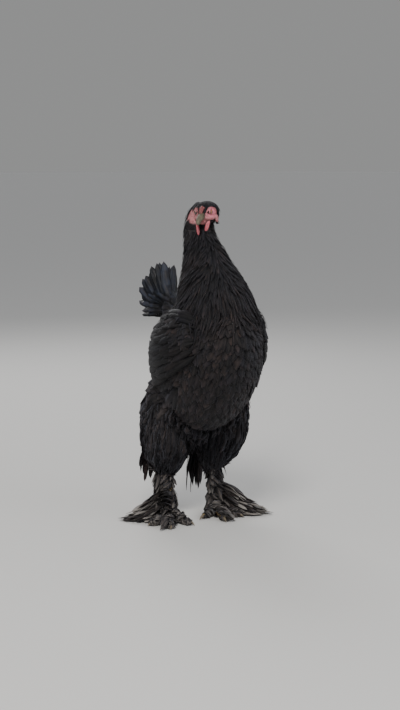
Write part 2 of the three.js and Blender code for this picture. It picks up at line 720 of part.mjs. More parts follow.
// The tail fans out from a small core; its sides fold back and its coverts bend down
function tailSolid() {
  const axis = vec(0, Math.cos(tail.rise * degrees), Math.sin(tail.rise * degrees));
  const front = vec(0, -axis.z, axis.y);
  const feathers = tail.rows.flatMap(({ count, spread, long, side, wide, deep, bend }) =>
    evenly(count).map((u, i) => {
      const lean = 2 * u - 1;
      const turn = spread * lean * degrees;
      const way = axis.clone().multiplyScalar(Math.cos(turn)).add(vec(Math.sin(turn), 0, 0));
      way.addScaledVector(front, -tail.fold * lean * lean).normalize();
      const base = tail.root.clone().addScaledVector(front, -deep - 9 * Math.abs(lean) + 2.4 * (i % 2));
      const length = mix(long, side, Math.abs(lean)) * (1 - 0.04 * ((i * 5) % 3));
      const sag = vec(0, 0, -0.5 * bend * Math.abs(lean));
      sag.addScaledVector(front, -bend * (1 + Math.abs(lean)));
      const path = (s) => base.clone().addScaledVector(way, 4 + s * length).addScaledVector(sag, s * s);
      const face = front.clone().add(vec(0.6 * lean, 0, 0)).normalize();
      return vane({ path, face: () => face, wide, tilt: 0.1 * Math.sign(lean) });
    }));
  const { wide, thick, long } = tail.core;
  return join(ball(tail.root.clone().addScaledVector(axis, 8), wide, thick, long, 12, 8), feathers);
}

const parts = new Map();
const skullGrown = skullSolid(gap);
const headGrown = onHead(join(skullGrown, orb(1, gap), orb(-1, gap)));
const bill = beakParts(skullGrown);
const nape = join(tubeSolid(neckChart, neckCentre, 0), neckFeathers());
const napeGrown = join(tubeSolid(neckChart, neckCentre, gap), neckFeathers(gap));
const saddleGrown = join(trunkGrown, saddleFeathers(gap));
const clearOfFace = join(skullGrown, beakHalf(beak.upper, gap), beakHalf(beak.lower, gap));
parts.set("torso", largest(join(trunkSolid, saddleFeathers())));
const flaps = onHead(join(wattleSolid(1, 2 * gap), wattleSolid(-1, 2 * gap)));
parts.set("neck", largest(nape.subtract(join(saddleGrown, headGrown, flaps))));
parts.set("head", largest(onHead(headSolid())));
parts.set("beak_upper", largest(onHead(bill.upper)));
parts.set("beak_lower", largest(onHead(bill.lower)));
parts.set("comb", largest(onHead(combSolid().subtract(clearOfFace)).subtract(napeGrown)));
for (const [name, side] of [["left", 1], ["right", -1]]) {
  parts.set("eye_" + name, onHead(orb(side)));
  parts.set("wattle_" + name, largest(onHead(wattleSolid(side).subtract(clearOfFace))));
  parts.set("wing_" + name, largest(wingSolid(side).subtract(join(saddleGrown, napeGrown))));
}
parts.set("tail", largest(tailSolid().subtract(saddleGrown)));
legNodes("right", legs.right);
legNodes("left", legs.left);

// Colour and gloss of each kind of surface; a node takes the first one whose words its name holds
const finishes = [
  { words: ["comb", "wattle"], color: 0xa8303a, roughness: 0.55 },
  { words: ["head"], color: 0x6e2a2e, roughness: 0.7 },
  { words: ["beak", "claw"], color: 0x6f6a50, roughness: 0.4 },
  { words: ["eye"], color: 0x2a130a, roughness: 0.08 },
  { words: ["foot"], color: 0x3a332f, roughness: 0.85 },
  { words: ["tail", "wing"], color: 0x14161c, roughness: 0.5 },
  { words: [""], color: 0x17161a, roughness: 0.75 },
];

function meshOf(name, whole) {
  const { vertProperties, triVerts } = whole.getMesh();
  const geometry = new THREE.BufferGeometry();
  geometry.setAttribute("position", new THREE.BufferAttribute(vertProperties, 3));
  geometry.setIndex(new THREE.BufferAttribute(triVerts, 1));
  geometry.computeVertexNormals();
  const { color, roughness } = finishes.find(({ words }) => words.some((word) => name.includes(word)));
  const mesh = new THREE.Mesh(geometry, new THREE.MeshStandardMaterial({ color, roughness, metalness: 0 }));
  mesh.name = name;
  return mesh;
}

// The whole bird, moved so that the origin is on the floor under the middle of its outline
function build() {
  const bird = new THREE.Group();
  for (const [name, whole] of parts) bird.add(meshOf(name, whole));
  const box = new THREE.Box3().setFromObject(bird);
  const middle = box.getCenter(vec(0, 0, 0));
  bird.position.set(-middle.x, -middle.y, -box.min.z);
  return bird;
}

export default build();
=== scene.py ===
import bpy
import bmesh
import math
import numpy as np
from mathutils import Matrix, Vector
from mathutils.bvhtree import BVHTree


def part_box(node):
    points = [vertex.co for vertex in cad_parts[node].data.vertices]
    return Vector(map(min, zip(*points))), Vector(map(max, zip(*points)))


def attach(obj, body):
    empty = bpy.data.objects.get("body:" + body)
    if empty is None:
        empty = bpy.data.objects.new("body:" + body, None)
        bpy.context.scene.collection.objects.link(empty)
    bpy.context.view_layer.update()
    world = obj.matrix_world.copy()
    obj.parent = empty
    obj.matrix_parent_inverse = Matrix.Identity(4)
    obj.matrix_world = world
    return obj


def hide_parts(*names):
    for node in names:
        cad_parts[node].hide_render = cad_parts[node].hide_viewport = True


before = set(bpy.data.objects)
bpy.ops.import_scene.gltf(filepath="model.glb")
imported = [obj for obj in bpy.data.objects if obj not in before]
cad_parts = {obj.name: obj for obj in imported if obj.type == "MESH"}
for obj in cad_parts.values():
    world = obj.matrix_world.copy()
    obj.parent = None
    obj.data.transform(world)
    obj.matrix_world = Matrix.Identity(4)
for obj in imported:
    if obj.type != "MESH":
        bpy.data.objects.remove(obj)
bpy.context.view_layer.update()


def table(names, *rows):  # rows of values as a list of dictionaries
    return [dict(zip(names.split(), row)) for row in rows]


# Sizes below are in millimetres, laid out from a point on the floor between the feet, with
# the breast facing -y and the left side at +x. They repeat those of the solids
mm = 0.001
head = {
    "centre": (3, -46, 674), "turn": -50, "nod": 18, "roll": -2, "front": -32, "rear": 36,
    "rows": table("at middle up down side", (0.0, -4, 13, 13, 12), (0.2, -2, 16, 17, 17),
                  (0.45, 0, 20, 24, 22), (0.75, 0, 22, 34, 29), (1.0, -6, 24, 36, 30)),
}
eye = {"ahead": 11, "aside": 14.5, "above": 5, "radius": 6.2, "lid": 1.5}


def headMatrix():
    return (Matrix.Translation(Vector(head["centre"]))
            @ Matrix.Rotation(math.radians(head["turn"]), 4, "Z")
            @ Matrix.Rotation(math.radians(head["nod"]), 4, "X")
            @ Matrix.Rotation(math.radians(head["roll"]), 4, "Y"))


def findShift():
    low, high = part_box("eye_left")
    middle = (Vector(low) + Vector(high)) / 2
    return middle - (headMatrix() @ Vector((eye["aside"], -eye["ahead"], eye["above"]))) * mm


headTurn = np.array(headMatrix())[:3, :3]
headPlace = np.array(head["centre"], float)
shift = findShift()
shiftRow = np.array(shift)
print("shift", [round(v, 5) for v in shift])


def linked(name, data):  # a new object in the scene
    made = bpy.data.objects.new(name, data)
    bpy.context.collection.objects.link(made)
    return made


def makeCamera(view):
    azimuth, elevation = math.radians(view["azimuth"]), math.radians(view["elevation"])
    back = Vector((math.sin(azimuth) * math.cos(elevation), -math.cos(azimuth) * math.cos(elevation),
                   math.sin(elevation)))
    right = Vector((math.cos(azimuth), math.sin(azimuth), 0))
    up = back.cross(right)
    target = shift + right * view["aim"][0] + up * view["aim"][1]
    data = bpy.data.cameras.new("camera")
    data.sensor_fit = "VERTICAL"
    data.sensor_height = view["sensor"]
    data.lens = view["sensor"] * view["focalPixels"] / view["pixelsHigh"]
    data.clip_end = 400
    camera = linked("camera", data)
    turn = Matrix((right, up, back)).transposed().to_4x4()
    camera.matrix_world = Matrix.Translation(target + back * view["distance"]) @ turn
    bpy.context.scene.camera = camera


makeCamera({"azimuth": -30, "elevation": 8, "distance": 3.0, "aim": (0.0145, 0.3585),
            "focalPixels": 1347, "pixelsHigh": 710, "sensor": 36})


# numbers and curves

def unit(v):
    return v / np.maximum(np.linalg.norm(v, axis=-1, keepdims=True), 1e-9)


def smooth(x, low, high):
    s = np.clip((np.asarray(x, float) - low) / (high - low), 0, 1)
    return s * s * (3 - 2 * s)


def lerp(a, b, s):
    return a + (b - a) * s


def column(rows, name):  # a smooth curve through one column of a table
    ats = np.array([row["at"] for row in rows], float)
    values = np.array([row[name] for row in rows], float)
    low = np.maximum(np.arange(len(ats)) - 1, 0)
    high = np.minimum(np.arange(len(ats)) + 1, len(ats) - 1)
    slopes = (values[high] - values[low]) / (ats[high] - ats[low])

    def curve(x):
        i = np.clip(np.searchsorted(ats, x) - 1, 0, len(ats) - 2)
        span = ats[i + 1] - ats[i]
        s = np.clip((x - ats[i]) / span, 0, 1)
        pull = s * (1 - s) * span * ((1 - s) * slopes[i] - s * slopes[i + 1])
        return lerp(values[i], values[i + 1], s * s * (3 - 2 * s)) + pull
    return curve


def bent(a, b, c, s):  # from a to c, pulled towards b
    s = np.asarray(s, float)[..., None]
    return (1 - s) ** 2 * a + 2 * s * (1 - s) * b + s ** 2 * c


def through(a, b, c, s):  # a bent line through three points
    a, b, c = (np.asarray(v, float) for v in (a, b, c))
    return bent(a, 2 * b - 0.5 * (a + c), c, s)


def facing(turn):  # turn 0 is straight ahead of the bird and 90 its left
    turn = np.radians(turn)
    return np.stack([np.sin(turn), -np.cos(turn), 0 * turn], -1)


def acrossWay(way):  # level, a quarter turn from way
    return np.array([-way[1], way[0], 0])


def ballPoint(at, angle):  # on a ball of radius 1, from its front pole to its rear one
    at, angle = np.broadcast_arrays(at, np.radians(angle))
    ring = 2 * np.sqrt(np.maximum(at * (1 - at), 0))
    return ring * np.cos(angle), 2 * at - 1, ring * np.sin(angle)


def waves(p, size, seed):  # smooth noise from -1 to 1 that changes over about size
    draw = np.random.default_rng(seed)
    total = np.zeros(len(p))
    for _ in range(6):
        way = unit(draw.normal(size=3)) * 2 * math.pi / (size * draw.uniform(0.7, 1.6))
        total += np.sin(p @ way + draw.uniform(0, 6.3))
    return total / 3


class Chart:  # a round body between two poles on the y axis, with 0 its left and 90 its top
    def __init__(self, body):
        self.front, self.rear = body["front"], body["rear"]
        self.middle, self.up, self.down, self.side = (
            column(body["rows"], name) for name in ("middle", "up", "down", "side"))

    def surface(self, at, angle):
        at, angle = np.broadcast_arrays(np.asarray(at, float), np.radians(angle))
        ring = np.sqrt(np.maximum(4 * at * (1 - at), 0))
        rise = np.sin(angle)
        height = np.where(rise > 0, self.up(at), self.down(at))
        return np.stack([self.side(at) * ring * np.cos(angle), lerp(self.front, self.rear, at),
                         self.middle(at) + height * ring * rise], -1)

    def outward(self, at, angle):
        at = np.clip(at, 0.006, 0.994)
        along = self.surface(at + 0.002, angle) - self.surface(at - 0.002, angle)
        around = self.surface(at, np.asarray(angle) + 0.5) - self.surface(at, np.asarray(angle) - 0.5)
        return unit(np.cross(along, around))

    def lifted(self, at, angle, lift):
        return self.surface(at, angle) + self.outward(at, angle) * np.asarray(lift, float)[..., None]

    def reach(self, p):  # 1 on the surface, less inside and more outside
        at = np.clip((p[:, 1] - self.front) / (self.rear - self.front), 0.001, 0.999)
        ring = np.sqrt(4 * at * (1 - at))
        rise = p[:, 2] - self.middle(at)
        height = np.where(rise > 0, self.up(at), self.down(at))
        return np.hypot(p[:, 0] / (self.side(at) * ring), rise / (height * ring))


trunk = Chart({
    "front": -206, "rear": 122,
    "rows": table("at middle up down side", (0.0, 402, 138, 150, 104), (0.25, 388, 148, 168, 123),
                  (0.5, 370, 132, 168, 116), (0.75, 358, 124, 150, 98), (1.0, 392, 96, 130, 78)),
})
neck = {
    "foot": 425, "top": 694,
    "rows": table("at back lean radius", (425, -98, 0, 84), (470, -92, 0, 84), (505, -80, 0, 74),
                  (540, -66, 0, 61), (582, -47, 0, 46), (615, -30, 0, 37), (645, -19, 3, 33),
                  (675, -22, 7, 27), (694, -30, 8, 16)),
}
neckBack, neckLean, neckRadius = (column(neck["rows"], name) for name in ("back", "lean", "radius"))
skull = Chart(head)
legs = {
    "right": {
        "side": -1, "toes": -30,
        "hip": (-54, 2, 330), "knee": (-62, 10, 226), "hock": (-58, 26, 128), "foot": (-55, 0, 13),
        "plume": ((-70, 30, 190), (-80, 56, 130), (-80, 66, 82)),
        "fan": ((-66, 0, 0), (-166, 52, 0)),
    },
    "left": {
        "side": 1, "toes": -14,
        "hip": (60, -8, 330), "knee": (74, -4, 226), "hock": (60, 24, 128), "foot": (55, 2, 13),
        "plume": ((56, 32, 180), (44, 62, 110), (38, 66, 38)),
        "fan": ((66, 10, 0), (172, -78, 0)),
    },
}
thighRadius = column(table("at radius", (0, 30), (0.2, 48), (0.45, 52), (0.75, 45), (1, 30)), "radius")
shank = {"hock": 13, "middle": 10.5, "ankle": 12}
toes = {"radius": 7.5, "tip": 5.2, "arch": 3, "sink": 1,
        "each": {"inner": (-42, 60), "middle": (0, 76), "outer": (40, 64), "hind": (172, 36)}}
claws = {"length": 15, "radius": 3.6, "tip": 0.5, "sunk": 5, "drop": 1.1}
tail = {"root": (0, 95, 450), "rise": 60, "fold": 0.35, "core": (18, 13, 32)}
coat = {"trunk": 9, "neck": 5, "skull": 2.2, "thigh": 8, "shank": 2.5, "toe": 0.4}  # its depth over the skin


# meshes

def placed(points):  # from the layout's millimetres to the shared frame
    return np.asarray(points, float) * mm + shiftRow


def laid(points):  # from the shared frame back to the layout
    return (np.asarray(points, float) - shiftRow) / mm


def onHead(points):
    return np.asarray(points, float) @ headTurn.T + headPlace


def fromHead(points):
    return (points - headPlace) @ headTurn


def smoothed(mesh):
    mesh.polygons.foreach_set("use_smooth", [True] * len(mesh.polygons))


def meshObject(name, points, faces):
    mesh = bpy.data.meshes.new(name)
    mesh.from_pydata(placed(points).tolist(), [], faces)
    smoothed(mesh)
    mesh.update()
    return linked(name, mesh)


def lattice(rows, around, start=0):  # faces of a closed shell: pole, rings of points, pole
    faces = [(start, start + 1 + (j + 1) % around, start + 1 + j) for j in range(around)]
    for i in range(rows - 1):
        a, b = start + 1 + i * around, start + 1 + (i + 1) * around
        faces += [(a + j, a + (j + 1) % around, b + (j + 1) % around, b + j) for j in range(around)]
    end = start + 1 + rows * around
    a = end - around
    return faces + [(end, a + j, a + (j + 1) % around) for j in range(around)]


def shell(surface, rows=30, around=40):  # surface(at, angle) is closed at both ends
    at = (1 - np.cos(math.pi * np.arange(1, rows + 1) / (rows + 1))) / 2
    angle = 360 * np.arange(around) / around
    grid = surface(at[:, None], angle[None, :]).reshape(-1, 3)
    ends = surface(np.array([0.0, 1.0]), np.array([0.0, 0.0]))
    return np.vstack([ends[:1], grid, ends[1:]]), lattice(rows, around)


def rod(path, size, rows=20, around=16, side=(1, 0, 0)):  # a round, bent and tapered bar
    s = np.linspace(0, 1, rows)
    middle = path(s)
    line = unit(path(np.minimum(s + 0.02, 1)) - path(np.maximum(s - 0.02, 0)))
    across = unit(np.asarray(side, float) - line * (line @ np.asarray(side, float))[:, None])
    over = np.cross(line, across)
    turn = 2 * math.pi * np.arange(around) / around
    ring = across[:, None] * np.cos(turn)[None, :, None] + over[:, None] * np.sin(turn)[None, :, None]
    grid = middle[:, None] + ring * np.asarray(size(s), float)[:, None, None]
    points = np.vstack([middle[:1], grid.reshape(-1, 3), middle[-1:]])
    return points, lattice(rows, around)


def ball(centre, size, rows=14, around=20):
    centre, size = np.asarray(centre, float), np.asarray(size, float)
    return shell(lambda at, angle: centre + np.stack(ballPoint(at, angle), -1) * size, rows, around)


def merged(shells):
    points, faces, start = [], [], 0
    for p, f in shells:
        points.append(p)
        faces += [tuple(i + start for i in face) for face in f]
        start += len(p)
    return np.vstack(points), faces


def outwards(piece):
    work = bmesh.new()
    work.from_mesh(piece.data)
    bmesh.ops.recalc_face_normals(work, faces=work.faces)
    work.to_mesh(piece.data)
    work.free()


def applied(piece, kind, **values):  # one modifier, put into the mesh
    modifier = piece.modifiers.new(kind.lower(), kind)
    for name, value in values.items():
        setattr(modifier, name, value)
    made = bpy.data.meshes.new_from_object(piece.evaluated_get(bpy.context.evaluated_depsgraph_get()))
    piece.modifiers.clear()
    old = piece.data
    piece.data = made
    bpy.data.meshes.remove(old)
    return piece


def blended(name, shells, voxel, rounds):  # closed forms that grow together
    piece = meshObject(name, *merged(shells))
    outwards(piece)
    applied(piece, "REMESH", mode="VOXEL", voxel_size=voxel * mm, use_smooth_shade=True)
    return applied(piece, "SMOOTH", factor=0.5, iterations=rounds)


# skin: one closed body under the whole coat

def neckCentre(z):
    z = np.asarray(z, float)
    return np.stack([neckLean(z), neckBack(z), z], -1)


def toeLine(leg, name):
    turn, length = toes["each"][name]
    way = facing(leg["toes"] + turn * leg["side"])
    foot = np.array(leg["foot"], float) * (1, 1, 0)
    a, b, c = (foot + way * along + (0, 0, z) for along, z in (
        (4, toes["radius"]), (length * 0.6, toes["radius"] + toes["arch"]),
        (length, toes["tip"] - toes["sink"])))
    return lambda s: bent(a, b, c, s), way, c


wingCore = {"front": 0.2, "rear": 0.62, "low": -16, "high": 42, "out": 2, "sunk": 12}


def wingLens(side):
    def surface(at, angle):
        out, _, up = ballPoint(at, angle)
        place = lerp(wingCore["low"], wingCore["high"], (1 + up) / 2)
        lift = lerp(-wingCore["sunk"], wingCore["out"], (1 + out) / 2)
        along = lerp(wingCore["front"], wingCore["rear"], at)
        return trunk.lifted(along, place if side > 0 else 180 - place, lift)
    return shell(surface, 16, 20)


def tailWays():  # along the tail, and out of its face
    rise = math.radians(tail["rise"])
    return np.array([0, math.cos(rise), math.sin(rise)]), np.array([0, -math.sin(rise), math.cos(rise)])


def bodyForms():
    forms = [shell(lambda at, angle: trunk.lifted(at, angle, -coat["trunk"] + 0 * at * angle))]
    top, foot = neck["top"] - coat["neck"], neck["foot"]
    forms.append(rod(lambda s: neckCentre(lerp(top, foot, s)),
                     lambda s: np.maximum(neckRadius(lerp(top, foot, s)) - coat["neck"], 6), 36, 36))
    forms += [wingLens(1), wingLens(-1)]
    for leg in legs.values():
        forms.append(rod(lambda s, leg=leg: through(leg["hip"], leg["knee"], leg["hock"], s),
                         lambda s: np.maximum(thighRadius(s) - coat["thigh"], 11), 24, 28))
    axis, front = tailWays()
    middle = np.array(tail["root"], float) + axis * 8
    points, faces = ball((0, 0, 0), tail["core"])
    turned = sum(np.outer(points[:, i], way) for i, way in enumerate(((1, 0, 0), front, axis)))
    return forms + [(turned + middle, faces)]


def footForms():
    def shankRadius(s):
        ankle = lerp(shank["hock"], shank["middle"], np.minimum(2 * s, 1))
        return lerp(ankle, shank["ankle"], np.maximum(2 * s - 1, 0)) - coat["shank"]

    def toeRadius(s):  # knuckled, and drawn in at the tip
        return lerp(toes["radius"], toes["tip"], s) * (1 + 0.07 * np.cos(s * 22)) - coat["toe"] - (s > 0.97)
    forms = []
    for leg in legs.values():
        hock, foot = np.array(leg["hock"], float) + (0, 0, 12), np.array(leg["foot"], float)
        forms.append(rod(lambda s, a=hock, b=foot: lerp(a, b, s[..., None]), shankRadius, 30, 24))
        forms.append(ball(foot + (0, 0, 0.5), (11.5, 12.5, 12.5)))
        for name in toes["each"]:
            path, way, _ = toeLine(leg, name)
            forms.append(rod(path, toeRadius, 34, 18, acrossWay(way)))
    return forms


def faceward(side, aside, ahead, above):
    return np.array([side * aside, -ahead, above], float)


def stroke(side, aside, ahead, above):  # a line over the face, given from its first end to its last
    return lambda s: np.stack([side * lerp(*aside, s), -lerp(*ahead, s), above(s)], -1)


def lidLine(side, low, high):  # round the eye between two angles
    centre = faceward(side, eye["aside"] + 2.2, eye["ahead"] + 0.2, eye["above"])
    wide, tall = eye["radius"] - 0.7, eye["radius"] - 1.2

    def line(s):
        turn = np.radians(lerp(low, high, s))
        return centre + np.stack([0 * s, np.cos(turn) * wide, np.sin(turn) * tall], -1)
    return line


def headForms():
    def scalp(at, angle):
        return skull.lifted(at, angle, -coat["skull"] * smooth(at, 0.35, 0.7) - 0.3 + 0 * angle)
    forms = [shell(scalp, 40, 48)]
    swell = lambda s: np.sin(math.pi * s)
    for side in (1, -1):
        for low, high, heavy in ((-14, 194, 1.0), (170, 370, 0.8)):
            thick = lambda s, heavy=heavy: eye["lid"] * heavy * (0.7 + 0.4 * swell(s))
            forms.append(rod(lidLine(side, low, high), thick, 24, 10))
        brow = stroke(side, (12, 18), (22, -4), lambda s: 8 + 4 * swell(s) + 2 * s)
        cheek = stroke(side, (11, 21), (23, -4), lambda s: lerp(-5, -10, s))
        gape = stroke(side, (8, 17), (26, 13), lambda s: lerp(-3, -9, s))
        earLobe = ball(faceward(side, 23, -3, -15), (3.4, 6, 9))
        forms += [rod(brow, lambda s: 1.2 + 1.3 * swell(s), 20, 12),
                  rod(cheek, lambda s: 2.5 + 3.4 * swell(s), 20, 12), earLobe,
                  rod(gape, lambda s: 2.6 - 0.8 * s, 14, 12)]
    throat = stroke(0, (0, 0), (24, 4), lambda s: lerp(-9, -24, s))
    forms.append(rod(throat, lambda s: 7.5 + 3 * s, 14, 16))
    return [(onHead(points), faces) for points, faces in forms]


def makeSkin():
    body, feet, face = (blended(name, forms(), voxel, rounds) for name, forms, voxel, rounds in (
        ("skin", bodyForms, 3.6, 6), ("feet", footForms, 1.7, 2), ("face", headForms, 1.05, 2)))
    sockets = [ball(faceward(side, eye["aside"] + out, eye["ahead"] + out, eye["above"]), [size] * 3, 16, 24)
               for side in (1, -1) for out, size in ((0, eye["radius"] + 0.25), (2.6, eye["radius"] - 0.8))]
    hollows = [meshObject("socket", onHead(p), f) for p, f in sockets]
    for hollow in hollows:
        outwards(hollow)
        applied(face, "BOOLEAN", operation="DIFFERENCE", object=hollow, solver="EXACT")
    for limb in (feet, face):
        applied(body, "BOOLEAN", operation="UNION", object=limb, solver="EXACT")
    for spare in (*hollows, feet, face):
        bpy.data.objects.remove(spare)
    smoothed(body.data)
    return body


skin = makeSkin()
print("skin", len(skin.data.polygons), "faces")


def vertexRows(mesh, name):  # "co" for places, "normal" for normals
    flat = np.empty(len(mesh.vertices) * 3)
    mesh.vertices.foreach_get(name, flat)
    return flat.reshape(-1, 3)


def wrinkleFace(mesh, mask):  # small folds and warts on the bare skin
    p = laid(vertexRows(mesh, "co"))
    rough = 0.32 * waves(p, 3.2, 3) + 0.22 * waves(p, 1.9, 4)
    mesh.vertices.foreach_set("co", placed(p + vertexRows(mesh, "normal") * (rough * mask)[:, None]).ravel())
    mesh.update()


faceOvals = table("ahead above wide high fade", (9, 0.5, 19, 15, (1.05, 0.85)), (20, -9, 13, 10, (1.1, 0.9)),
                  (-4, -15, 8, 11, (1.1, 0.9)))  # round the eye, at the jaw and on the ear lobe


def faceMask(p):  # 1 on the bare face, 0 on feathers
    h = fromHead(p)
    aside, ahead, above = np.abs(h[:, 0]), -h[:, 1], h[:, 2]

    def inside(oval):
        reach = np.hypot((ahead - oval["ahead"]) / oval["wide"], (above - oval["above"]) / oval["high"])
        return smooth(reach, *oval["fade"])
    side, jaw, lobe = (inside(oval) for oval in faceOvals)
    side = side * smooth(aside - np.maximum(above - 2, 0) * 0.5, 4.5, 7.5)
    near = smooth(np.linalg.norm(h, axis=1), 52, 46)
    return np.maximum(np.maximum(side, jaw), lobe * smooth(aside, 12, 16)) * near


skinPoints = laid(vertexRows(skin.data, "co"))
bare = faceMask(skinPoints)
scaled = smooth(skinPoints[:, 2], 118, 104)  # 1 on shank and toes
wrinkleFace(skin.data, bare)


def attribute(mesh, name, values):
    layer = mesh.attributes.new(name, "FLOAT", "POINT")
    layer.data.foreach_set("value", np.asarray(values, np.float32))


attribute(skin.data, "bare", bare)
attribute(skin.data, "scaled", scaled)


def unwrap(piece):
    bpy.ops.object.select_all(action="DESELECT")
    piece.select_set(True)
    bpy.context.view_layer.objects.active = piece
    bpy.ops.object.mode_set(mode="EDIT")
    bpy.ops.mesh.select_all(action="SELECT")
    bpy.ops.uv.smart_project(angle_limit=math.radians(66), island_margin=0.002)
    bpy.ops.object.mode_set(mode="OBJECT")
    piece.data.uv_layers[0].name = "OFBake"


unwrap(skin)
print("unwrapped")


class Ground:  # the skin as something that feathers root in and follow
    def __init__(self, piece):
        mesh = piece.data
        mesh.calc_loop_triangles()
        count = len(mesh.loop_triangles)
        tri, loop = np.empty(count * 3, int), np.empty(count * 3, int)
        mesh.loop_triangles.foreach_get("vertices", tri)
        mesh.loop_triangles.foreach_get("loops", loop)
        self.tri = tri.reshape(-1, 3)
        self.p, self.n = laid(vertexRows(mesh, "co")), vertexRows(mesh, "normal")
        uv = np.empty(len(mesh.loops) * 2)
        mesh.uv_layers["OFBake"].data.foreach_get("uv", uv)
        self.uv = uv.reshape(-1, 2)[loop.reshape(-1, 3)].mean(1)
        self.tree = BVHTree.FromPolygons(self.p.tolist(), self.tri.tolist())
        a, b, c = self.p[self.tri].swapaxes(0, 1)
        self.area = np.linalg.norm(np.cross(b - a, c - a), axis=1) / 2

    def nearest(self, p):
        found = [self.tree.find_nearest(v) for v in p.tolist()]
        place = np.array([f[0] for f in found])
        index = np.array([f[2] for f in found])
        return place, unit(self.n[self.tri[index]].mean(1)), index

    def scatter(self, count, seed):  # even random places over the whole skin
        draw = np.random.default_rng(seed)
        index = np.sort(draw.choice(len(self.tri), count, p=self.area / self.area.sum()))
        w = draw.dirichlet((1, 1, 1), count)[..., None]
        place, normal = ((values[self.tri[index]] * w).sum(1) for values in (self.p, self.n))
        return place, unit(normal), index


ground = Ground(skin)
print("area", round(ground.area.sum() / 1e6, 3), "m2")
rootPlaces = 420000
scattered = ground.scatter(rootPlaces, 11)
order = np.random.default_rng(12).permutation(len(scattered[0]))
places, placeNormals, placeIndex = (rows[order] for rows in scattered)


borders = {"neck": 508, "head": 640, "thigh": 300, "shank": 126, "toe": 24}  # heights
rump = {"behind": 88, "above": 425, "aside": 24}  # left bare for the tail's own feathers


def regions(p):
    kind = np.full(len(p), "trunk", dtype="<U8")
    kind[p[:, 2] > borders["neck"]] = "neck"
    h = fromHead(p)
    inHead = (h[:, 1] < 14 - 0.35 * np.maximum(-h[:, 2], 0)) & (np.linalg.norm(h * (1, 1, 0.9), axis=1) < 46)
    kind[inHead & (p[:, 2] > borders["head"])] = "head"
    outside = trunk.reach(p) > 1.0
    kind[(p[:, 2] < borders["thigh"]) & outside] = "thigh"
    for name in ("shank", "toe"):
        kind[p[:, 2] < borders[name]] = name
    overTail = (p[:, 1] > rump["behind"]) & (p[:, 2] > rump["above"]) & (np.abs(p[:, 0]) < rump["aside"])
    kind[overTail & outside] = "tail"
    return kind


placeKind = regions(places)
print({name: int((placeKind == name).sum()) for name in np.unique(placeKind)})


def rooted(kind, cell, keep=None):  # about one root for each cell of the region
    chosen = np.flatnonzero(placeKind == kind)
    if keep is not None:
        chosen = chosen[keep(places[chosen], placeNormals[chosen])]
    boxes = np.floor(places[chosen] / cell).astype(int)
    _, first = np.unique(boxes, axis=0, return_index=True)
    chosen = chosen[np.sort(first)]
    return places[chosen], placeNormals[chosen], placeIndex[chosen]


def flow(kind, p, n):  # the lie of the coat
    aside = np.sign(p[:, 0])
    if kind == "head":
        below = smooth(fromHead(p)[:, 2], 0, -18)
        v = np.stack([0 * below, lerp(1, 0.55, below), lerp(-0.12, -1, below)], -1) @ headTurn.T
    elif kind == "trunk":
        front, low = smooth(p[:, 1], 0, -150), smooth(p[:, 2], 330, 240)
        fall = -0.28 - 1.5 * front - 0.9 * low * smooth(p[:, 1], -120, 20)
        v = np.stack([0 * fall, 0 * fall + 1, fall], -1)
    else:
        x, y, z = {"neck": (0, 0.25 * smooth(p[:, 2], 620, 540), -1), "thigh": (0, 0.28, -1),
                   "toe": (0.7 * aside, -0.5, -0.2), "shank": (0.8 * aside, 0.2, -1)}[kind]
        v = np.stack(np.broadcast_arrays(x, y, z, 0.0 * aside)[:3], -1)
    v = v + 0.22 * np.stack([waves(p, 60, seed) for seed in (21, 22, 23)], -1)
    return unit(v - n * (v * n).sum(1, keepdims=True))


def grown(kind, p, n, length, lift, sink, rings, free=0.0, swing=0.12, seed=1):
    # centre lines that follow the skin, rising from sink below it to lift above it at the tip
    turn = np.random.default_rng(seed).normal(0, swing, (len(p), 1))

    def turned(at, normal):  # the flow, with each feather swung a little
        way = flow(kind, at, normal)
        return unit(way * np.cos(turn) + np.cross(normal, way) * np.sin(turn))
    line, face = np.empty((2, len(p), rings, 3))
    at, normal = p, n
    last = turned(at, normal)
    for k in range(rings):
        s = k / (rings - 1)
        height = -sink + (lift + sink) * s ** 0.75
        line[:, k] = at + normal * np.reshape(height, (-1, 1))
        face[:, k] = normal
        if k < rings - 1:
            step = at + last * np.reshape(length / (rings - 1), (-1, 1))
            found, foundNormal, _ = ground.nearest(step)
            stay = np.reshape(free, (-1, 1)) * s
            at = found * (1 - stay) + step * stay
            normal = unit(foundNormal * (1 - stay) + normal * stay)
            eased = lerp(last, turned(at, normal), 0.7)
            last = unit(eased - normal * (eased * normal).sum(1, keepdims=True))
    return line, face


profiles = {  # half width along a feather, from root to tip
    "round": lambda s: (0.25 + 0.75 * np.sin(np.clip(s * 1.25, 0, 1) * math.pi / 2)
                        * np.sqrt(np.clip(1 - s ** 5, 0, 1))),
    "lance": lambda s: (0.35 + 0.65 * smooth(s, 0, 0.35)) * (1 - s ** 2.2) ** 0.9,
    "blade": lambda s: (0.3 + 0.7 * smooth(s, 0, 0.3)) * np.sqrt(np.clip(1 - s ** 7, 0, 1)),
    "soft": lambda s: (0.3 + 0.7 * smooth(s, 0, 0.45)) * (1 - s ** 3.4) ** 0.75,
    "wisp": lambda s: 0.3 + 0.7 * np.sin(math.pi * np.clip(s * 0.93, 0, 1)),
}


floorEase = {"clear": 0.2, "bend": 1.8}  # feathers that would pass the floor lie over it instead


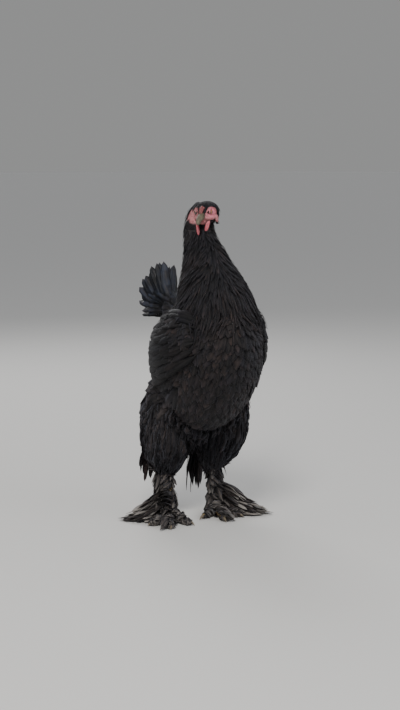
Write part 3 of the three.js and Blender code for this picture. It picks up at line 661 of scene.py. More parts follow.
def vanes(name, line, face, wide, shape, index, material, seed, thick=0.7, columns=3, ragged=0.1, tilt=0.1,
          cup=0.12, split=0.0, slot="plumage", pale=0.0):
    # closed feather meshes round centre lines: count x rings x 3
    draw = np.random.default_rng(seed)
    count, rings = line.shape[:2]
    s = np.linspace(0, 1, rings)
    along = unit(np.gradient(line, axis=1))
    across = unit(np.cross(along, face))
    over = np.cross(across, along)
    lean = draw.normal(0, tilt, (count, 1, 1))
    across = unit(across + over * lean)
    over = np.cross(across, along)
    half = np.reshape(wide, (-1, 1)) / 2 * profiles[shape](s)[None, :]
    x = np.linspace(-1, 1, columns)
    top = thick / 2 * (1 - np.abs(x) ** 3) * (1 + 0.9 * (np.abs(x) < 1e-6))
    sectionX = np.concatenate([x, x[-2:0:-1]])
    sectionZ = np.concatenate([top, -top[-2:0:-1] * 0.6])
    sides = len(sectionX)
    jag = 1 + ragged * draw.uniform(-1, 1, (count, rings, 2))
    if split > 0:  # gaps where barbs part
        jag *= 1 - 0.42 * (draw.uniform(size=jag.shape) < split)
    edge = np.where(sectionX < 0, 0, 1)
    shaped = jag[:, :, edge] ** (np.abs(sectionX) > 0.6)
    offX = half[:, :, None] * sectionX * shaped
    droop = -cup * half[:, :, None] * sectionX ** 2
    offZ = sectionZ * (1 - 0.55 * s)[None, :, None] + droop
    ring = line[:, :, None] + across[:, :, None] * offX[..., None] + over[:, :, None] * offZ[..., None]
    root = line[:, :1] - along[:, :1] * 0.6
    tip = line[:, -1:] + along[:, -1:] * (half[:, -1:, None] * 0.5 + 0.4)
    p = np.concatenate([root, ring.reshape(count, -1, 3), tip], 1)
    clear, bend = floorEase["clear"], floorEase["bend"]
    low = np.minimum(p[..., 2], clear + bend)
    p[..., 2] += clear + bend * np.exp((low - clear - bend) / bend) - low
    each = p.shape[1]
    first = (np.arange(count) * each)[:, None, None]
    pattern = lattice(rings, sides)
    quads, tris = ((np.array([f for f in pattern if len(f) == corners]) + first).reshape(-1, corners)
                   for corners in (4, 3))
    mesh = bpy.data.meshes.new(name)
    loops = np.concatenate([quads.ravel(), tris.ravel()])
    starts = np.concatenate([np.arange(len(quads)) * 4, len(quads) * 4 + np.arange(len(tris)) * 3])
    mesh.vertices.add(count * each)
    mesh.vertices.foreach_set("co", placed(p.reshape(-1, 3)).ravel())
    mesh.loops.add(len(loops))
    mesh.loops.foreach_set("vertex_index", loops)
    mesh.polygons.add(len(starts))
    mesh.polygons.foreach_set("loop_start", starts)
    mesh.polygons.foreach_set("use_smooth", np.ones(len(starts), bool))
    mesh.update(calc_edges=True)
    aside = np.concatenate([[0], np.tile(sectionX, rings), [0]])
    length = np.concatenate([[0], np.repeat(s, sides), [1]])
    attribute(mesh, "aside", np.tile(aside, count))
    attribute(mesh, "along", np.tile(length, count))
    attribute(mesh, "shade", np.repeat(draw.uniform(0, 1, count), each))
    attribute(mesh, "pale", np.repeat(np.broadcast_to(pale, count), each))
    uv = ground.uv[index][:, None] + 0.0015 * np.stack([aside, 2 * length - 1], -1)[None]
    layer = mesh.uv_layers.new(name="OFBake")
    layer.data.foreach_set("uv", uv.reshape(-1, 2)[loops].ravel())
    turnOutwards(mesh, sides)
    mesh.materials.append(material)
    piece = linked(name, mesh)
    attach(piece, "root")
    coatCount.append(len(quads) * 2 + len(tris))
    print(name, count, "feathers", coatCount[-1], "triangles")


coatCount = []


def turnOutwards(mesh, sides):  # all feathers share one order, so one test turns them all
    polygon = mesh.polygons[0]
    p = [mesh.vertices[i].co for i in polygon.vertices]
    middle = sum((mesh.vertices[1 + k].co for k in range(sides)), Vector()) / sides
    if polygon.normal.dot(sum(p, Vector()) / len(p) - middle) < 0:
        mesh.flip_normals()


# materials

class Nodes:  # the nodes of one material, or of the group that materials share
    def __init__(self, tree):
        self.tree = tree

    def put(self, sockets, values):  # on each socket a number, a colour or another node's output
        for key, value in values.items():
            socket = sockets[key]
            if isinstance(value, bpy.types.NodeSocket):
                self.tree.links.new(value, socket)
            else:
                socket.default_value = (*value, 1) if socket.type == "RGBA" else value

    def add(self, kind, values, output=0, **settings):
        made = self.tree.nodes.new("ShaderNode" + kind)
        for name, value in settings.items():
            setattr(made, name, value)
        self.put(made.inputs, values)
        return made.outputs[output]

    def math(self, operation, *values, clamp=False):
        return self.add("Math", dict(enumerate(values)), operation=operation, use_clamp=clamp)

    def times(self, a, b):
        return self.math("MULTIPLY", a, b)

    def line(self, value, gain, start, clamp=False):  # gain * value + start
        return self.math("MULTIPLY_ADD", value, gain, start, clamp=clamp)

    def attribute(self, name):
        return self.add("Attribute", {}, "Fac", attribute_name=name)

    def place(self):
        return self.add("TexCoord", {}, "Object")

    def noise(self, scale, detail):
        values = {"Scale": scale, "Detail": detail, "Roughness": 0.55, "Vector": self.place()}
        return self.add("TexNoise", values, "Fac")

    def patches(self, scale, detail, gain, start):  # noise turned into spots with soft edges
        return self.line(self.noise(scale, detail), gain, start, True)

    def mix(self, amount, a, b, blend="MIX"):
        return self.add("Mix", {0: amount, 6: a, 7: b}, 2, data_type="RGBA", blend_type=blend)

    def bump(self, height, strength, distance):
        return self.add("Bump", {"Strength": strength, "Distance": distance, "Height": height})

    def spot(self, centre, size):  # 1 at a place of the layout, falling to 0 at size from it
        scale = 1 / (np.array(size, float) * mm)
        values = {"Vector": self.place(), "Location": -placed(centre) * scale, "Scale": scale}
        length = self.add("VectorMath", {0: self.add("Mapping", values)}, "Value", operation="LENGTH")
        ends = {"Value": length, "From Min": 1, "From Max": 0.25}
        return self.add("MapRange", ends, interpolation_type="SMOOTHSTEP")


def newMaterial(name):
    material = bpy.data.materials.new(name)
    material.use_nodes = True
    return material, Nodes(material.node_tree), material.node_tree.nodes["Principled BSDF"].inputs


tones = {
    "black": (0.011, 0.0095, 0.0108), "blue": (0.016, 0.0165, 0.029), "brown": (0.055, 0.034, 0.025),
    # the pale dusty tone is dust, and it also serves as a painted highlight on feather edges
    # the pale grey saddle tone is a painted highlight
    "dustAndEdgeHighlight": (0.085, 0.066, 0.056), "red": (0.09, 0.03, 0.02), "paintedSaddleHighlight": (0.12, 0.1, 0.108),
    # the blue-green tail tone is a painted sheen
    # the near-black wing tone is painted shade
    # the pale thigh fluff tone is the fluff's colour and partly a painted highlight
    "paintedTailSheen": (0.034, 0.05, 0.085), "paintedWingShade": (0.004, 0.004, 0.0045), "paleFluffAndHighlight": (0.1, 0.082, 0.08),
    # the near-black root tone is painted shade under overlapping feathers
    "mottle": (0.003, 0.003, 0.0035), "root": (0.002, 0.002, 0.002), "under": (0.0025, 0.0023, 0.003),
    "groove": (0.004, 0.004, 0.005), "pale": (0.5, 0.46, 0.42), "face": (0.36, 0.08, 0.095),
    # the bright pink cheek tone is a painted highlight
    "faceLight": (0.64, 0.3, 0.3), "cheek": (0.78, 0.2, 0.27), "pore": (0.12, 0.03, 0.03),
    "scale": (0.34, 0.25, 0.1), "scaleEdge": (0.12, 0.08, 0.045), "iris": (0.1, 0.03, 0.01),
}
marks = [  # tone, place and size in millimetres, strength
    ("brown", (-30, -190, 460), (60, 60, 110), 0.6),
    ("brown", (-60, -120, 330), (110, 120, 130), 0.3),
    # painted shade: the lower part of the right wing darkened
    ("paintedWingShade", (-112, -30, 380), (60, 150, 110), 0.92),
    # painted highlight: a pale grey streak where light catches the saddle feathers
    ("paintedSaddleHighlight", (-45, 35, 466), (34, 70, 24), 0.75),
    # paler fluff on both thighs; the stronger mark on the right thigh is partly a painted highlight where light
    # falls
    ("paleFluffAndHighlight", (-85, -10, 220), (80, 110, 110), 0.85),
    ("paleFluffAndHighlight", (80, -30, 215), (60, 90, 90), 0.5),
    ("red", (-84, 50, 130), (46, 60, 80), 1.0),
    ("red", (42, 60, 100), (34, 50, 80), 0.5),
    ("dustAndEdgeHighlight", (-100, 10, 10), (150, 140, 110), 1.0),
    ("dustAndEdgeHighlight", (100, -30, 10), (150, 140, 110), 0.9),
    # painted sheen: the tail's blue-green gloss laid into its colour
    ("paintedTailSheen", (-30, 140, 510), (120, 100, 120), 1.0),
]


def markingsAndPaintedLightGroup():  # the markings that skin and coat share, with painted highlights, sheen and shade among them
    group = bpy.data.node_groups.new("markingsAndPaintedLight", "ShaderNodeTree")
    group.interface.new_socket("Shade", in_out="INPUT", socket_type="NodeSocketFloat")
    group.interface.new_socket("Colour", in_out="OUTPUT", socket_type="NodeSocketColor")
    shade, leave = group.nodes.new("NodeGroupInput").outputs["Shade"], group.nodes.new("NodeGroupOutput")
    nodes = Nodes(group)
    colour = nodes.mix(shade, tones["black"], tones["blue"])
    colour = nodes.mix(nodes.times(nodes.line(shade, 4, -2.9, True), 0.6), colour, tones["brown"])
    colour = nodes.mix(nodes.times(nodes.patches(24, 4, 3.4, -1.5), 0.5), colour, tones["brown"])
    for tone, centre, size, strength in marks:
        amount = nodes.times(nodes.spot(centre, size), strength)
        colour = nodes.mix(nodes.times(amount, nodes.patches(42, 3, 1.6, -0.1)), colour, tones[tone])
    colour = nodes.mix(nodes.times(nodes.patches(60, 3, 5.0, -2.1), 0.75), colour, tones["mottle"])
    nodes.put(leave.inputs, {"Colour": colour})
    return group


markingsAndPaintedLight = markingsAndPaintedLightGroup()
barbSlant = 0.8


def featherMaterial(name, rough=0.62, sheen=0.06, barbs=30, tip=0.16, shaft=0.1, depth=0.0004):
    material, nodes, shader = newMaterial(name)
    along, aside, shade, pale = (nodes.attribute(key) for key in ("along", "aside", "shade", "pale"))
    wide = nodes.math("ABSOLUTE", aside)
    # barbs run from the shaft out to the edge, towards the tip
    run = nodes.times(nodes.line(wide, -barbSlant / 3, along), barbs * 2 * math.pi)
    barb = nodes.line(nodes.math("SINE", nodes.line(nodes.noise(500, 2), 5.0, run)), 0.5, 0.5)
    edge = nodes.math("POWER", wide, 3)
    # paler edges and tips: dust and wear, and partly a painted highlight where light catches the feather edges
    rim = nodes.times(nodes.math("MAXIMUM", edge, nodes.math("POWER", along, 5)), tip)
    # painted shade: darker towards the root, where the feathers lying over it shade it
    root = nodes.line(nodes.math("POWER", along, 1.3), -1.0, 0.9, True)
    colour = nodes.add("Group", {"Shade": shade}, node_tree=markingsAndPaintedLight)
    quill = nodes.times(nodes.math("LESS_THAN", wide, 0.12), shaft)
    for amount, tone in (
            (rim, "dustAndEdgeHighlight"), (root, "root"), (nodes.line(shade, -0.85, 0.75, True), "under"),
            (nodes.times(barb, 0.35), "groove"), (quill, "dustAndEdgeHighlight"),
            (nodes.times(pale, nodes.math("POWER", along, 2)), "pale")):
        colour = nodes.mix(amount, colour, tones[tone])
    height = nodes.math("ADD", barb, nodes.times(edge, -1))
    nodes.put(shader, {
        "Base Color": colour, "Roughness": nodes.line(shade, 0.16, rough - 0.08), "Specular IOR Level": 0.22,
        "Sheen Weight": sheen, "Sheen Roughness": 0.45, "Sheen Tint": (0.8, 0.82, 1),
        "Normal": nodes.bump(height, 0.6, depth)})
    return material


def skinMaterial():
    material, nodes, shader = newMaterial("skin")
    bareAmount = nodes.attribute("bare")
    red = nodes.mix(nodes.patches(190, 4, 1.7, -0.35), tones["face"], tones["faceLight"])
    # painted highlight: the left cheek lighter pink where light catches it
    cheek = nodes.spot(onHead(faceward(1, 19, 8, 3)), (20, 20, 20))
    red = nodes.mix(nodes.times(cheek, 0.75), red, tones["cheek"])
    red = nodes.mix(nodes.patches(900, 2, 2.2, -0.95), red, tones["pore"])
    cells = nodes.add("TexVoronoi", {"Scale": 260, "Vector": nodes.place()}, "Distance")
    scales = nodes.mix(nodes.math("MULTIPLY", cells, 1.3, clamp=True), tones["scale"], tones["scaleEdge"])
    colour = nodes.mix(bareAmount, nodes.add("Group", {"Shade": 0.3}, node_tree=markingsAndPaintedLight), red)
    height = nodes.math("ADD", nodes.noise(700, 3), nodes.times(cells, 1.4))
    nodes.put(shader, {
        "Base Color": nodes.mix(nodes.attribute("scaled"), colour, scales),
        "Roughness": nodes.line(bareAmount, -0.3, 0.78), "Subsurface Weight": 0.12,
        "Subsurface Radius": (0.004, 0.0015, 0.001), "Normal": nodes.bump(height, 0.6, 0.0006)})
    return material


skin.data.materials.clear()
skin.data.materials.append(skinMaterial())
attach(skin, "root")
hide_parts("torso", "neck", "head", "wing_left", "wing_right", "tail",
            "thigh_left", "thigh_right", "foot_left", "foot_right")
softBlack = featherMaterial("softBlack")
fluffBlack = featherMaterial("fluffBlack", rough=0.85, sheen=0.1, barbs=16, tip=0.14, shaft=0.04)
glossBlack = featherMaterial("glossBlack", rough=0.36, sheen=0.03, barbs=60, tip=0.1, shaft=0.2, depth=0.0002)
wingBlack = featherMaterial("wingBlack", rough=0.6, sheen=0.02, barbs=50, tip=0.05, shaft=0.05, depth=0.0003)
dustyFeather = featherMaterial("dustyFeather", rough=0.85, sheen=0.1, barbs=40, tip=0.45, shaft=0.75)


# the coat, region by region: pairs of sizes run from the first end of a region to the last

def drawn(seed, count, low, high):  # one random number for each feather
    return np.random.default_rng(seed).uniform(low, high, count)


faceFeathers = {"cell": 2.1, "bare": 0.45, "span": (-20, 22), "long": (12, 4.2), "lift": (3.0, 1.1),
                "sink": 0.8, "wide": 0.42, "thick": 0.35}
bristles = {"cell": 4.4, "bare": 0.6, "share": 0.5, "long": 2.6, "lift": 1.4, "sink": 0.4, "wide": 0.35,
            "thick": 0.25}


def faceCoat():
    size = faceFeathers
    p, n, index = rooted("head", size["cell"], lambda p, n: faceMask(p) < size["bare"])
    near = smooth(-fromHead(p)[:, 1], *size["span"])
    length = lerp(*size["long"], near) * drawn(31, len(p), 0.8, 1.2)
    line, face = grown("head", p, n, length, lerp(*size["lift"], near), size["sink"], 4, seed=32)
    vanes("coatFace", line, face, length * size["wide"], "round", index, softBlack, 33, thick=size["thick"])
    size = bristles
    roots = rooted("head", size["cell"], lambda p, n: faceMask(p) > size["bare"])
    keep = drawn(34, len(roots[0]), 0, 1) < size["share"]
    p, n, index = (rows[keep] for rows in roots)
    line, face = grown("head", p, n, size["long"], size["lift"], size["sink"], 3, seed=35)
    vanes("coatBristles", line, face, size["wide"], "lance", index, softBlack, 36, thick=size["thick"])


hackle = {"cell": 5.4, "span": (680, 520), "long": (24, 62), "lift": (5, 8.5), "wide": (6, 13), "sink": 2.5,
          "cape": (545, 512), "capeLong": 0.75, "capeLift": 3}  # the cape lies over the shoulders


def neckCoat():
    p, n, index = rooted("neck", hackle["cell"])
    count, low, cape = len(p), smooth(p[:, 2], *hackle["span"]), smooth(p[:, 2], *hackle["cape"])
    length = lerp(*hackle["long"], low) * drawn(41, count, 0.85, 1.15)
    length *= 1 + cape * drawn(45, count, -0.1, hackle["capeLong"])
    lift = lerp(*hackle["lift"], low) * drawn(42, count, 0.7, 1.25) + hackle["capeLift"] * cape
    line, face = grown("neck", p, n, length, lift, hackle["sink"], 7, seed=43, swing=0.11)
    wide = lerp(*hackle["wide"], low) * drawn(46, count, 0.8, 1.2)
    vanes("coatHackle", line, face, wide, "lance", index, softBlack, 44, thick=0.6, ragged=0.16, split=0.05)


breast = {  # sizes high on the breast, low on it and on the back
    "cell": 8.6, "long": (44, 62, 60), "wide": (24, 27, 19), "lift": (8, 12, 8), "sink": 2.5,
    "span": (420, 240), "back": ((-40, 60), (400, 470)), "rump": (60, 118), "rumpShort": 0.4,
    "wing": {"middle": 0.52, "reach": 0.27, "low": 318, "facing": 0.72},
}


def trunkCoat():
    wing = breast["wing"]
    middle, reach = lerp(trunk.front, trunk.rear, wing["middle"]), wing["reach"] * (trunk.rear - trunk.front)
    for name, side, seed in (("coatBreastRight", -1, 50), ("coatBreastLeft", 1, 60)):
        def keep(p, n, side=side):
            underWing = (np.abs(p[:, 1] - middle) < reach) & (p[:, 2] > wing["low"])
            return (p[:, 0] * side >= 0) & ~(underWing & (np.abs(n[:, 0]) > wing["facing"]))
        p, n, index = rooted("trunk", breast["cell"], keep)
        low = smooth(p[:, 2], *breast["span"])
        back = smooth(p[:, 1], *breast["back"][0]) * smooth(p[:, 2], *breast["back"][1])

        def varied(key, more, least):
            high, under, behind = breast[key]
            return lerp(lerp(high, under, low), behind, back) * drawn(seed + more, len(p), least, 1.15)
        long, wide, lift = varied("long", 1, 0.85), varied("wide", 5, 0.85), varied("lift", 2, 0.7)
        long *= 1 - breast["rumpShort"] * smooth(p[:, 1], *breast["rump"])
        line, face = grown("trunk", p, n, long, lift, breast["sink"], 8, free=0.35 * low, seed=seed + 3,
                           swing=0.16)
        vanes(name, line, face, wide, "soft", index, softBlack, seed + 4, columns=5, ragged=0.16, split=0.16,
              cup=0.2)


thighFeathers = {"cell": 5.2, "span": (260, 130), "long": (56, 44), "lift": (11, 9), "wide": (14, 10),
                 "sink": 2}
looseFluff = {"cell": 8, "above": 120, "span": (130, 200), "long": (30, 66), "out": 6, "wide": 12,
              "gather": 0.75}
ventFluff = {"cell": 7, "span": (-60, 50), "long": (30, 105), "out": 8, "wide": 15, "gather": 0.1}
insideFluff = {"cell": 8, "span": (120, 200), "long": (30, 78), "out": 5, "wide": 13, "gather": 0.3}


def thighCoat():
    size = thighFeathers
    for name, leg, seed in (("coatThighRight", legs["right"], 70), ("coatThighLeft", legs["left"], 80)):
        def onLeg(p, n, leg=leg):
            return p[:, 0] * leg["side"] > 0
        p, n, index = rooted("thigh", size["cell"], onLeg)
        low = smooth(p[:, 2], *size["span"])
        length = lerp(*size["long"], low) * drawn(seed + 1, len(p), 0.75, 1.25)
        lift = lerp(*size["lift"], low) * drawn(seed + 2, len(p), 0.3, 1.5)
        line, face = grown("thigh", p, n, length, lift, size["sink"], 6, free=0.6, seed=seed + 3, swing=0.3)
        vanes(name, line, face, lerp(*size["wide"], low), "wisp", index, fluffBlack, seed + 4, thick=0.6,
              ragged=0.35, split=0.2, tilt=0.3)
        above = lambda p, n: onLeg(p, n) & (p[:, 2] > looseFluff["above"])
        roots = rooted("thigh", looseFluff["cell"], above)
        hanging(name + "Loose", roots, 2, looseFluff, seed + 6)


def hanging(name, roots, axis, size, seed):  # loose fluff that falls from the skin
    p, n, index = roots
    draw = np.random.default_rng(seed)
    length = lerp(*size["long"], smooth(p[:, axis], *size["span"])) * draw.uniform(0.7, 1.15, len(p))
    hock = np.where((p[:, 0] > 0)[:, None], legs["left"]["hock"], legs["right"]["hock"])
    pull = (hock - p) * (1, 1, 0) * size["gather"] * smooth(p[:, 2] - length, 170, 90)[:, None]
    side = n * (1, 1, 0) + draw.normal(0, 0.35, (len(p), 3)) * (1, 1, 0)
    a = p - n * 2
    b = p + n * 6 + side * size["out"] * 0.8 - np.outer(length * 0.45, (0, -0.1, 1))
    c = p + side * size["out"] + pull + np.outer(length, (0, 0.16, -1))
    c[:, 2] = np.maximum(c[:, 2], 28)
    s = np.linspace(0, 1, 8)
    line = np.stack([through(*ends, s) for ends in zip(a, b, c)])
    face = np.repeat(unit(n + (0, 0, 0.02))[:, None], 8, 1)
    wide = size["wide"] * draw.uniform(0.5, 1.2, len(p))
    vanes(name, line, face, wide, "wisp", index, fluffBlack, seed + 1, thick=0.6, ragged=0.4, split=0.3, tilt=0.5)


def ventCoat():  # fluff that hangs under the belly and fills the room between the thighs
    def underBelly(p, n):
        return (p[:, 2] < 290) & (np.abs(p[:, 0]) < 78) & (p[:, 1] > -60) & (n[:, 2] < 0.1)

    def insideThigh(p, n):
        return (np.abs(p[:, 0]) < 62) & (n[:, 0] * p[:, 0] < 0) & (p[:, 1] > -30)
    hanging("coatVent", rooted("trunk", ventFluff["cell"], underBelly), 1, ventFluff, 96)
    hanging("coatInside", rooted("thigh", insideFluff["cell"], insideThigh), 2, insideFluff, 98)


shankFeathers = {"cell": 4.4, "above": 22, "long": (26, 44), "lift": (8, 21), "sink": 1.5, "free": 0.8,
                 "swing": 0.3, "clear": 2.0, "wide": 12, "split": 0.15, "pale": 0.35}
toeFeathers = {"cell": 3.6, "above": 6, "near": 62, "long": (20, 34), "lift": (3, 10), "sink": 1,
               "free": 0.85, "swing": 0.35, "clear": 1.8, "wide": 10, "split": 0.2, "pale": 0.5}


def dustyCoat(name, kind, roots, length, lift, size, seed):
    p, n, index = roots
    line, face = grown(kind, p, n, length, lift, size["sink"], 6, free=size["free"], seed=seed,
                       swing=size["swing"])
    line[..., 2] = np.maximum(line[..., 2], size["clear"])
    vanes(name, line, face, size["wide"], "round", index, dustyFeather, seed + 1, thick=0.5, ragged=0.3,
          split=size["split"], tilt=0.3, slot="foot_plumage", pale=drawn(seed + 2, len(p), 0, size["pale"]))


def shankCoat():
    size = shankFeathers
    p, n, index = rooted("shank", size["cell"], lambda p, n: p[:, 2] > size["above"])
    outer = smooth(n[:, 0] * np.sign(p[:, 0]), -0.7, 0.3)
    length = lerp(*size["long"], outer) * drawn(91, len(p), 0.7, 1.3)
    lift = lerp(*size["lift"], outer) * drawn(92, len(p), 0.4, 1.4)
    dustyCoat("coatShank", "shank", (p, n, index), length, lift, size, 93)


def toeCoat():  # short feathers over the toes, all but the tips
    size = toeFeathers

    def keep(p, n):
        feet = [np.linalg.norm((p - np.array(leg["foot"])) * (1, 1, 0), axis=1) for leg in legs.values()]
        return (n[:, 2] > 0.1) & (np.min(feet, 0) < size["near"]) & (p[:, 2] > size["above"])
    roots = rooted("toe", size["cell"], keep)
    length, lift = drawn(101, len(roots[0]), *size["long"]), drawn(102, len(roots[0]), *size["lift"])
    dustyCoat("coatToes", "toe", roots, length, lift, size, 103)


for layCoat in (faceCoat, neckCoat, trunkCoat, thighCoat, ventCoat, shankCoat, toeCoat):
    layCoat()


# long feathers, each laid on its own line

def quills(name, feathers, material, seed, **more):  # each feather is its line, its face and its width
    line, face, wide = (np.array(values) for values in zip(*feathers))
    _, _, index = ground.nearest(line[:, 0])
    vanes(name, line, face, wide, "blade", index, material, seed, thick=1.0, columns=5, ragged=0.07,
          split=0.04, **more)


# each row from its lowest feather to its highest, by place along the trunk and angle round it
wingRows = table("count wide lift root tip",
                 (15, 21, (-1, 3.5), ((0.42, -13), (0.56, 32)), ((0.76, -21), (0.955, 36))),
                 (13, 21, (1, 5.5), ((0.32, -14), (0.44, 34)), ((0.6, -19), (0.76, 37))),
                 (14, 19, (1, 6.5), ((0.25, -13), (0.35, 36)), ((0.47, -17), (0.58, 38))),
                 (14, 18, (0, 7), ((0.2, -10), (0.27, 38)), ((0.37, -15), (0.45, 40))),
                 (12, 17, (-1, 6), ((0.16, -4), (0.2, 38)), ((0.28, -12), (0.33, 41))))


def wingFeathers(name, side, seed):
    draw = np.random.default_rng(seed)
    s = np.linspace(0, 1, 12)
    for number, row in enumerate(wingRows):
        feathers = []
        for u in np.linspace(0, 1, row["count"]):
            root, tip = (lerp(*np.array(row[end]), u) + draw.normal(0, spread)
                         for end, spread in (("root", (0.006, 0.8)), ("tip", (0.014, 2.0))))
            at, angle = np.clip(lerp(root[0], tip[0], s), 0.02, 0.98), lerp(root[1], tip[1], s)
            angle = angle if side > 0 else 180 - angle
            low, high = row["lift"]
            lift = lerp(low, high + draw.normal(0, 0.7), s ** 0.7) + 1.2 * u
            feathers.append((trunk.lifted(at, angle, lift), trunk.outward(at, angle),
                             row["wide"] * draw.uniform(0.85, 1.15)))
        quills(f"{name}{number}", feathers, wingBlack, seed + number, tilt=0.3, cup=0.3)


tailRows = table("count spread long side wide deep bend",
                 (13, 30, 124, 112, 23, 0, -6), (12, 40, 112, 98, 22, 7, 0), (12, 48, 96, 84, 21, 14, 8),
                 (12, 60, 84, 72, 21, -5, 12), (12, 78, 68, 60, 20, -11, 18), (12, 92, 54, 48, 19, -14, 20),
                 (10, 70, 56, 52, 19, 19, 14))


def tailFeathers():
    draw = np.random.default_rng(140)
    axis, front = tailWays()
    s = np.linspace(0, 1, 14)
    for number, row in enumerate(tailRows):
        feathers = []
        for u in np.linspace(0, 1, row["count"]):
            lean = 2 * u - 1
            turn = math.radians(row["spread"] * lean * (0.6 if lean < 0 else 1))
            way = axis * math.cos(turn) + np.array([math.sin(turn), 0, 0])
            way = unit(way - front * tail["fold"] * lean * lean + draw.normal(0, 0.03, 3))
            back = -row["deep"] - 9 * abs(lean) + draw.normal(0, 1.5)
            base = np.array(tail["root"], float) + front * back
            length = lerp(row["long"], row["side"], abs(lean)) * draw.uniform(0.9, 1.0)
            sag = front * -row["bend"] * (1 + abs(lean)) + np.array([0, 0, -0.5 * row["bend"] * abs(lean)])
            feathers.append((base + np.outer(2 + s * length, way) + np.outer(s * s, sag),
                             np.tile(unit(front + np.array([0.6 * lean, 0, 0])), (14, 1)),
                             row["wide"] * draw.uniform(0.9, 1.1)))
        quills(f"tailFeathers{number}", feathers, glossBlack, 141 + number, tilt=0.2)


def hockFeathers(name, leg, seed):
    draw = np.random.default_rng(seed)
    root, middle, tip = (np.array(v, float) for v in leg["plume"])
    back = unit((tip - root) * (1, 1, 0))
    across = acrossWay(back)
    feathers = []
    for _ in range(34):
        u, up, bend = draw.uniform(-1, 1), draw.uniform(0, 62), draw.normal(0, 5, 3)
        a = root + across * 11 * u + (0, 0, up * 0.4) - back * draw.uniform(0, 8)
        b = middle + across * 17 * u + (0, 0, up * 0.6) + bend
        c = tip + across * 22 * u + (0, 0, up) + bend
        face = np.tile(unit(back + across * 0.4 * u), (12, 1))
        feathers.append((through(a, b, c, np.linspace(0, 1, 12)), face, draw.uniform(10, 15)))
    quills(name, feathers, dustyFeather, seed, tilt=0.25)


footTiers = table("count spread long high low",  # from the floor up
                  (20, 36, 1.0, 9, 2.5), (18, 38, 0.93, 17, 7), (17, 40, 0.84, 27, 14),
                  (16, 42, 0.72, 37, 22), (15, 44, 0.6, 48, 28), (13, 46, 0.48, 60, 34))


def footFeathers(name, leg, seed):
    draw = np.random.default_rng(seed)
    start, end = (np.array(v, float) for v in leg["fan"])
    aim = math.degrees(math.atan2(end[0] - start[0], start[1] - end[1]))
    length = np.linalg.norm(end - start)
    s = np.linspace(0, 1, 12)
    flat = np.tile((0, 0, 1.0), (12, 1))
    feathers, pale = [], []
    for tier in footTiers:
        for u in np.linspace(0, 1, tier["count"]):
            way = facing(aim + 2 * tier["spread"] * (u - 0.5) + draw.normal(0, 3))
            reach = length * tier["long"] * (1 - 0.42 * abs(2 * u - 1)) * draw.uniform(0.84, 1.0)
            base = start + facing(aim + 90) * 30 * (u - 0.5) * -1
            low = tier["low"] + abs(draw.normal(0, 2))
            a = base - way * 10 + (0, 0, tier["high"])
            b = base + way * reach * 0.45 + (0, 0, tier["high"] + 2 + draw.normal(0, 1.5))
            path = through(a, b, base + way * reach + (0, 0, low), s)
            path[:, 2] = np.maximum(path[:, 2], 1.6)
            feathers.append((path, flat + 0.15 * draw.normal(size=3), draw.uniform(16, 24)))
            pale.append(draw.uniform(0.2, 0.9) * (draw.uniform() < 0.45))
    path, toeWay, _ = toeLine(leg, "middle")
    for at in np.linspace(0.1, 0.85, 9):
        for rise in (0, 5):
            way = unit(toeWay + leg["side"] * 0.8 * acrossWay(toeWay) * draw.uniform(0.6, 1.2))
            a = path(np.array(at)) + (0, 0, 3)
            c = a + way * draw.uniform(26, 40)
            c[2] = 2.5 + rise
            feathers.append((through(a, (a + c) / 2 + (0, 0, 4 + rise), c, s), flat, draw.uniform(8, 12)))
            pale.append(draw.uniform(0, 0.5))
    quills(name, feathers, dustyFeather, seed, tilt=0.2, slot="foot_plumage", pale=np.array(pale))


wingFeathers("wingRight", -1, 110)
wingFeathers("wingLeft", 1, 120)
tailFeathers()
hockFeathers("hockRight", legs["right"], 150)
hockFeathers("hockLeft", legs["left"], 160)
footFeathers("footFanRight", legs["right"], 170)
footFeathers("footFanLeft", legs["left"], 180)
print("coat", sum(coatCount), "triangles")


# head pieces

def finishPiece(piece, material, solid):
    outwards(piece)
    piece.data.materials.clear()
    piece.data.materials.append(material)
    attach(piece, "root")
    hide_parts(solid)


fleshFinish = {"patches": 160, "gloss": (400, 0.3, 0.3), "grain": (1100, 0.5, 0.0005), "glow": 0.2}
hornFinish = {"patches": 120, "gloss": (300, 0.25, 0.4), "grain": (600, 0.35, 0.0004), "glow": 0}


def mottledMaterial(name, finish, deep, light):
    material, nodes, shader = newMaterial(name)
    glossScale, vary, rough = finish["gloss"]
    grainScale, strength, depth = finish["grain"]
    nodes.put(shader, {
        "Base Color": nodes.mix(nodes.patches(finish["patches"], 4, 1.8, -0.4), deep, light),
        "Roughness": nodes.line(nodes.noise(glossScale, 2), vary, rough), "Subsurface Weight": finish["glow"],
        "Subsurface Radius": (0.004, 0.0015, 0.001),
        "Normal": nodes.bump(nodes.noise(grainScale, 3), strength, depth)})
    return material


eyeRings = [  # from the pupil's middle out
    (0.0, (0.003, 0.002, 0.002)), (0.36, (0.004, 0.003, 0.003)), (0.42, (0.3, 0.09, 0.02)),
    (0.62, (0.42, 0.15, 0.035)), (0.78, (0.2, 0.05, 0.015)), (0.84, (0.03, 0.012, 0.008)),
    (1.0, (0.05, 0.02, 0.015)),
]


def eyeMaterial(side):
    material, nodes, shader = newMaterial("eyeball" + ("Left" if side > 0 else "Right"))
    rings = nodes.add("ValToRGB", {0: nodes.attribute("ring")})
    stops = rings.node.color_ramp.elements
    for number, (place, colour) in enumerate(eyeRings):
        stop = stops[0] if number == 0 else stops.new(place) if place < 1 else stops[-1]
        stop.position, stop.color = place, (*colour, 1)
    spark = nodes.mix(nodes.times(nodes.noise(1500, 3), 0.5), rings, tones["iris"], "MULTIPLY")
    nodes.put(shader, {"Base Color": spark, "Roughness": 0.05, "Coat Weight": 1.0, "Coat Roughness": 0.02})
    return material


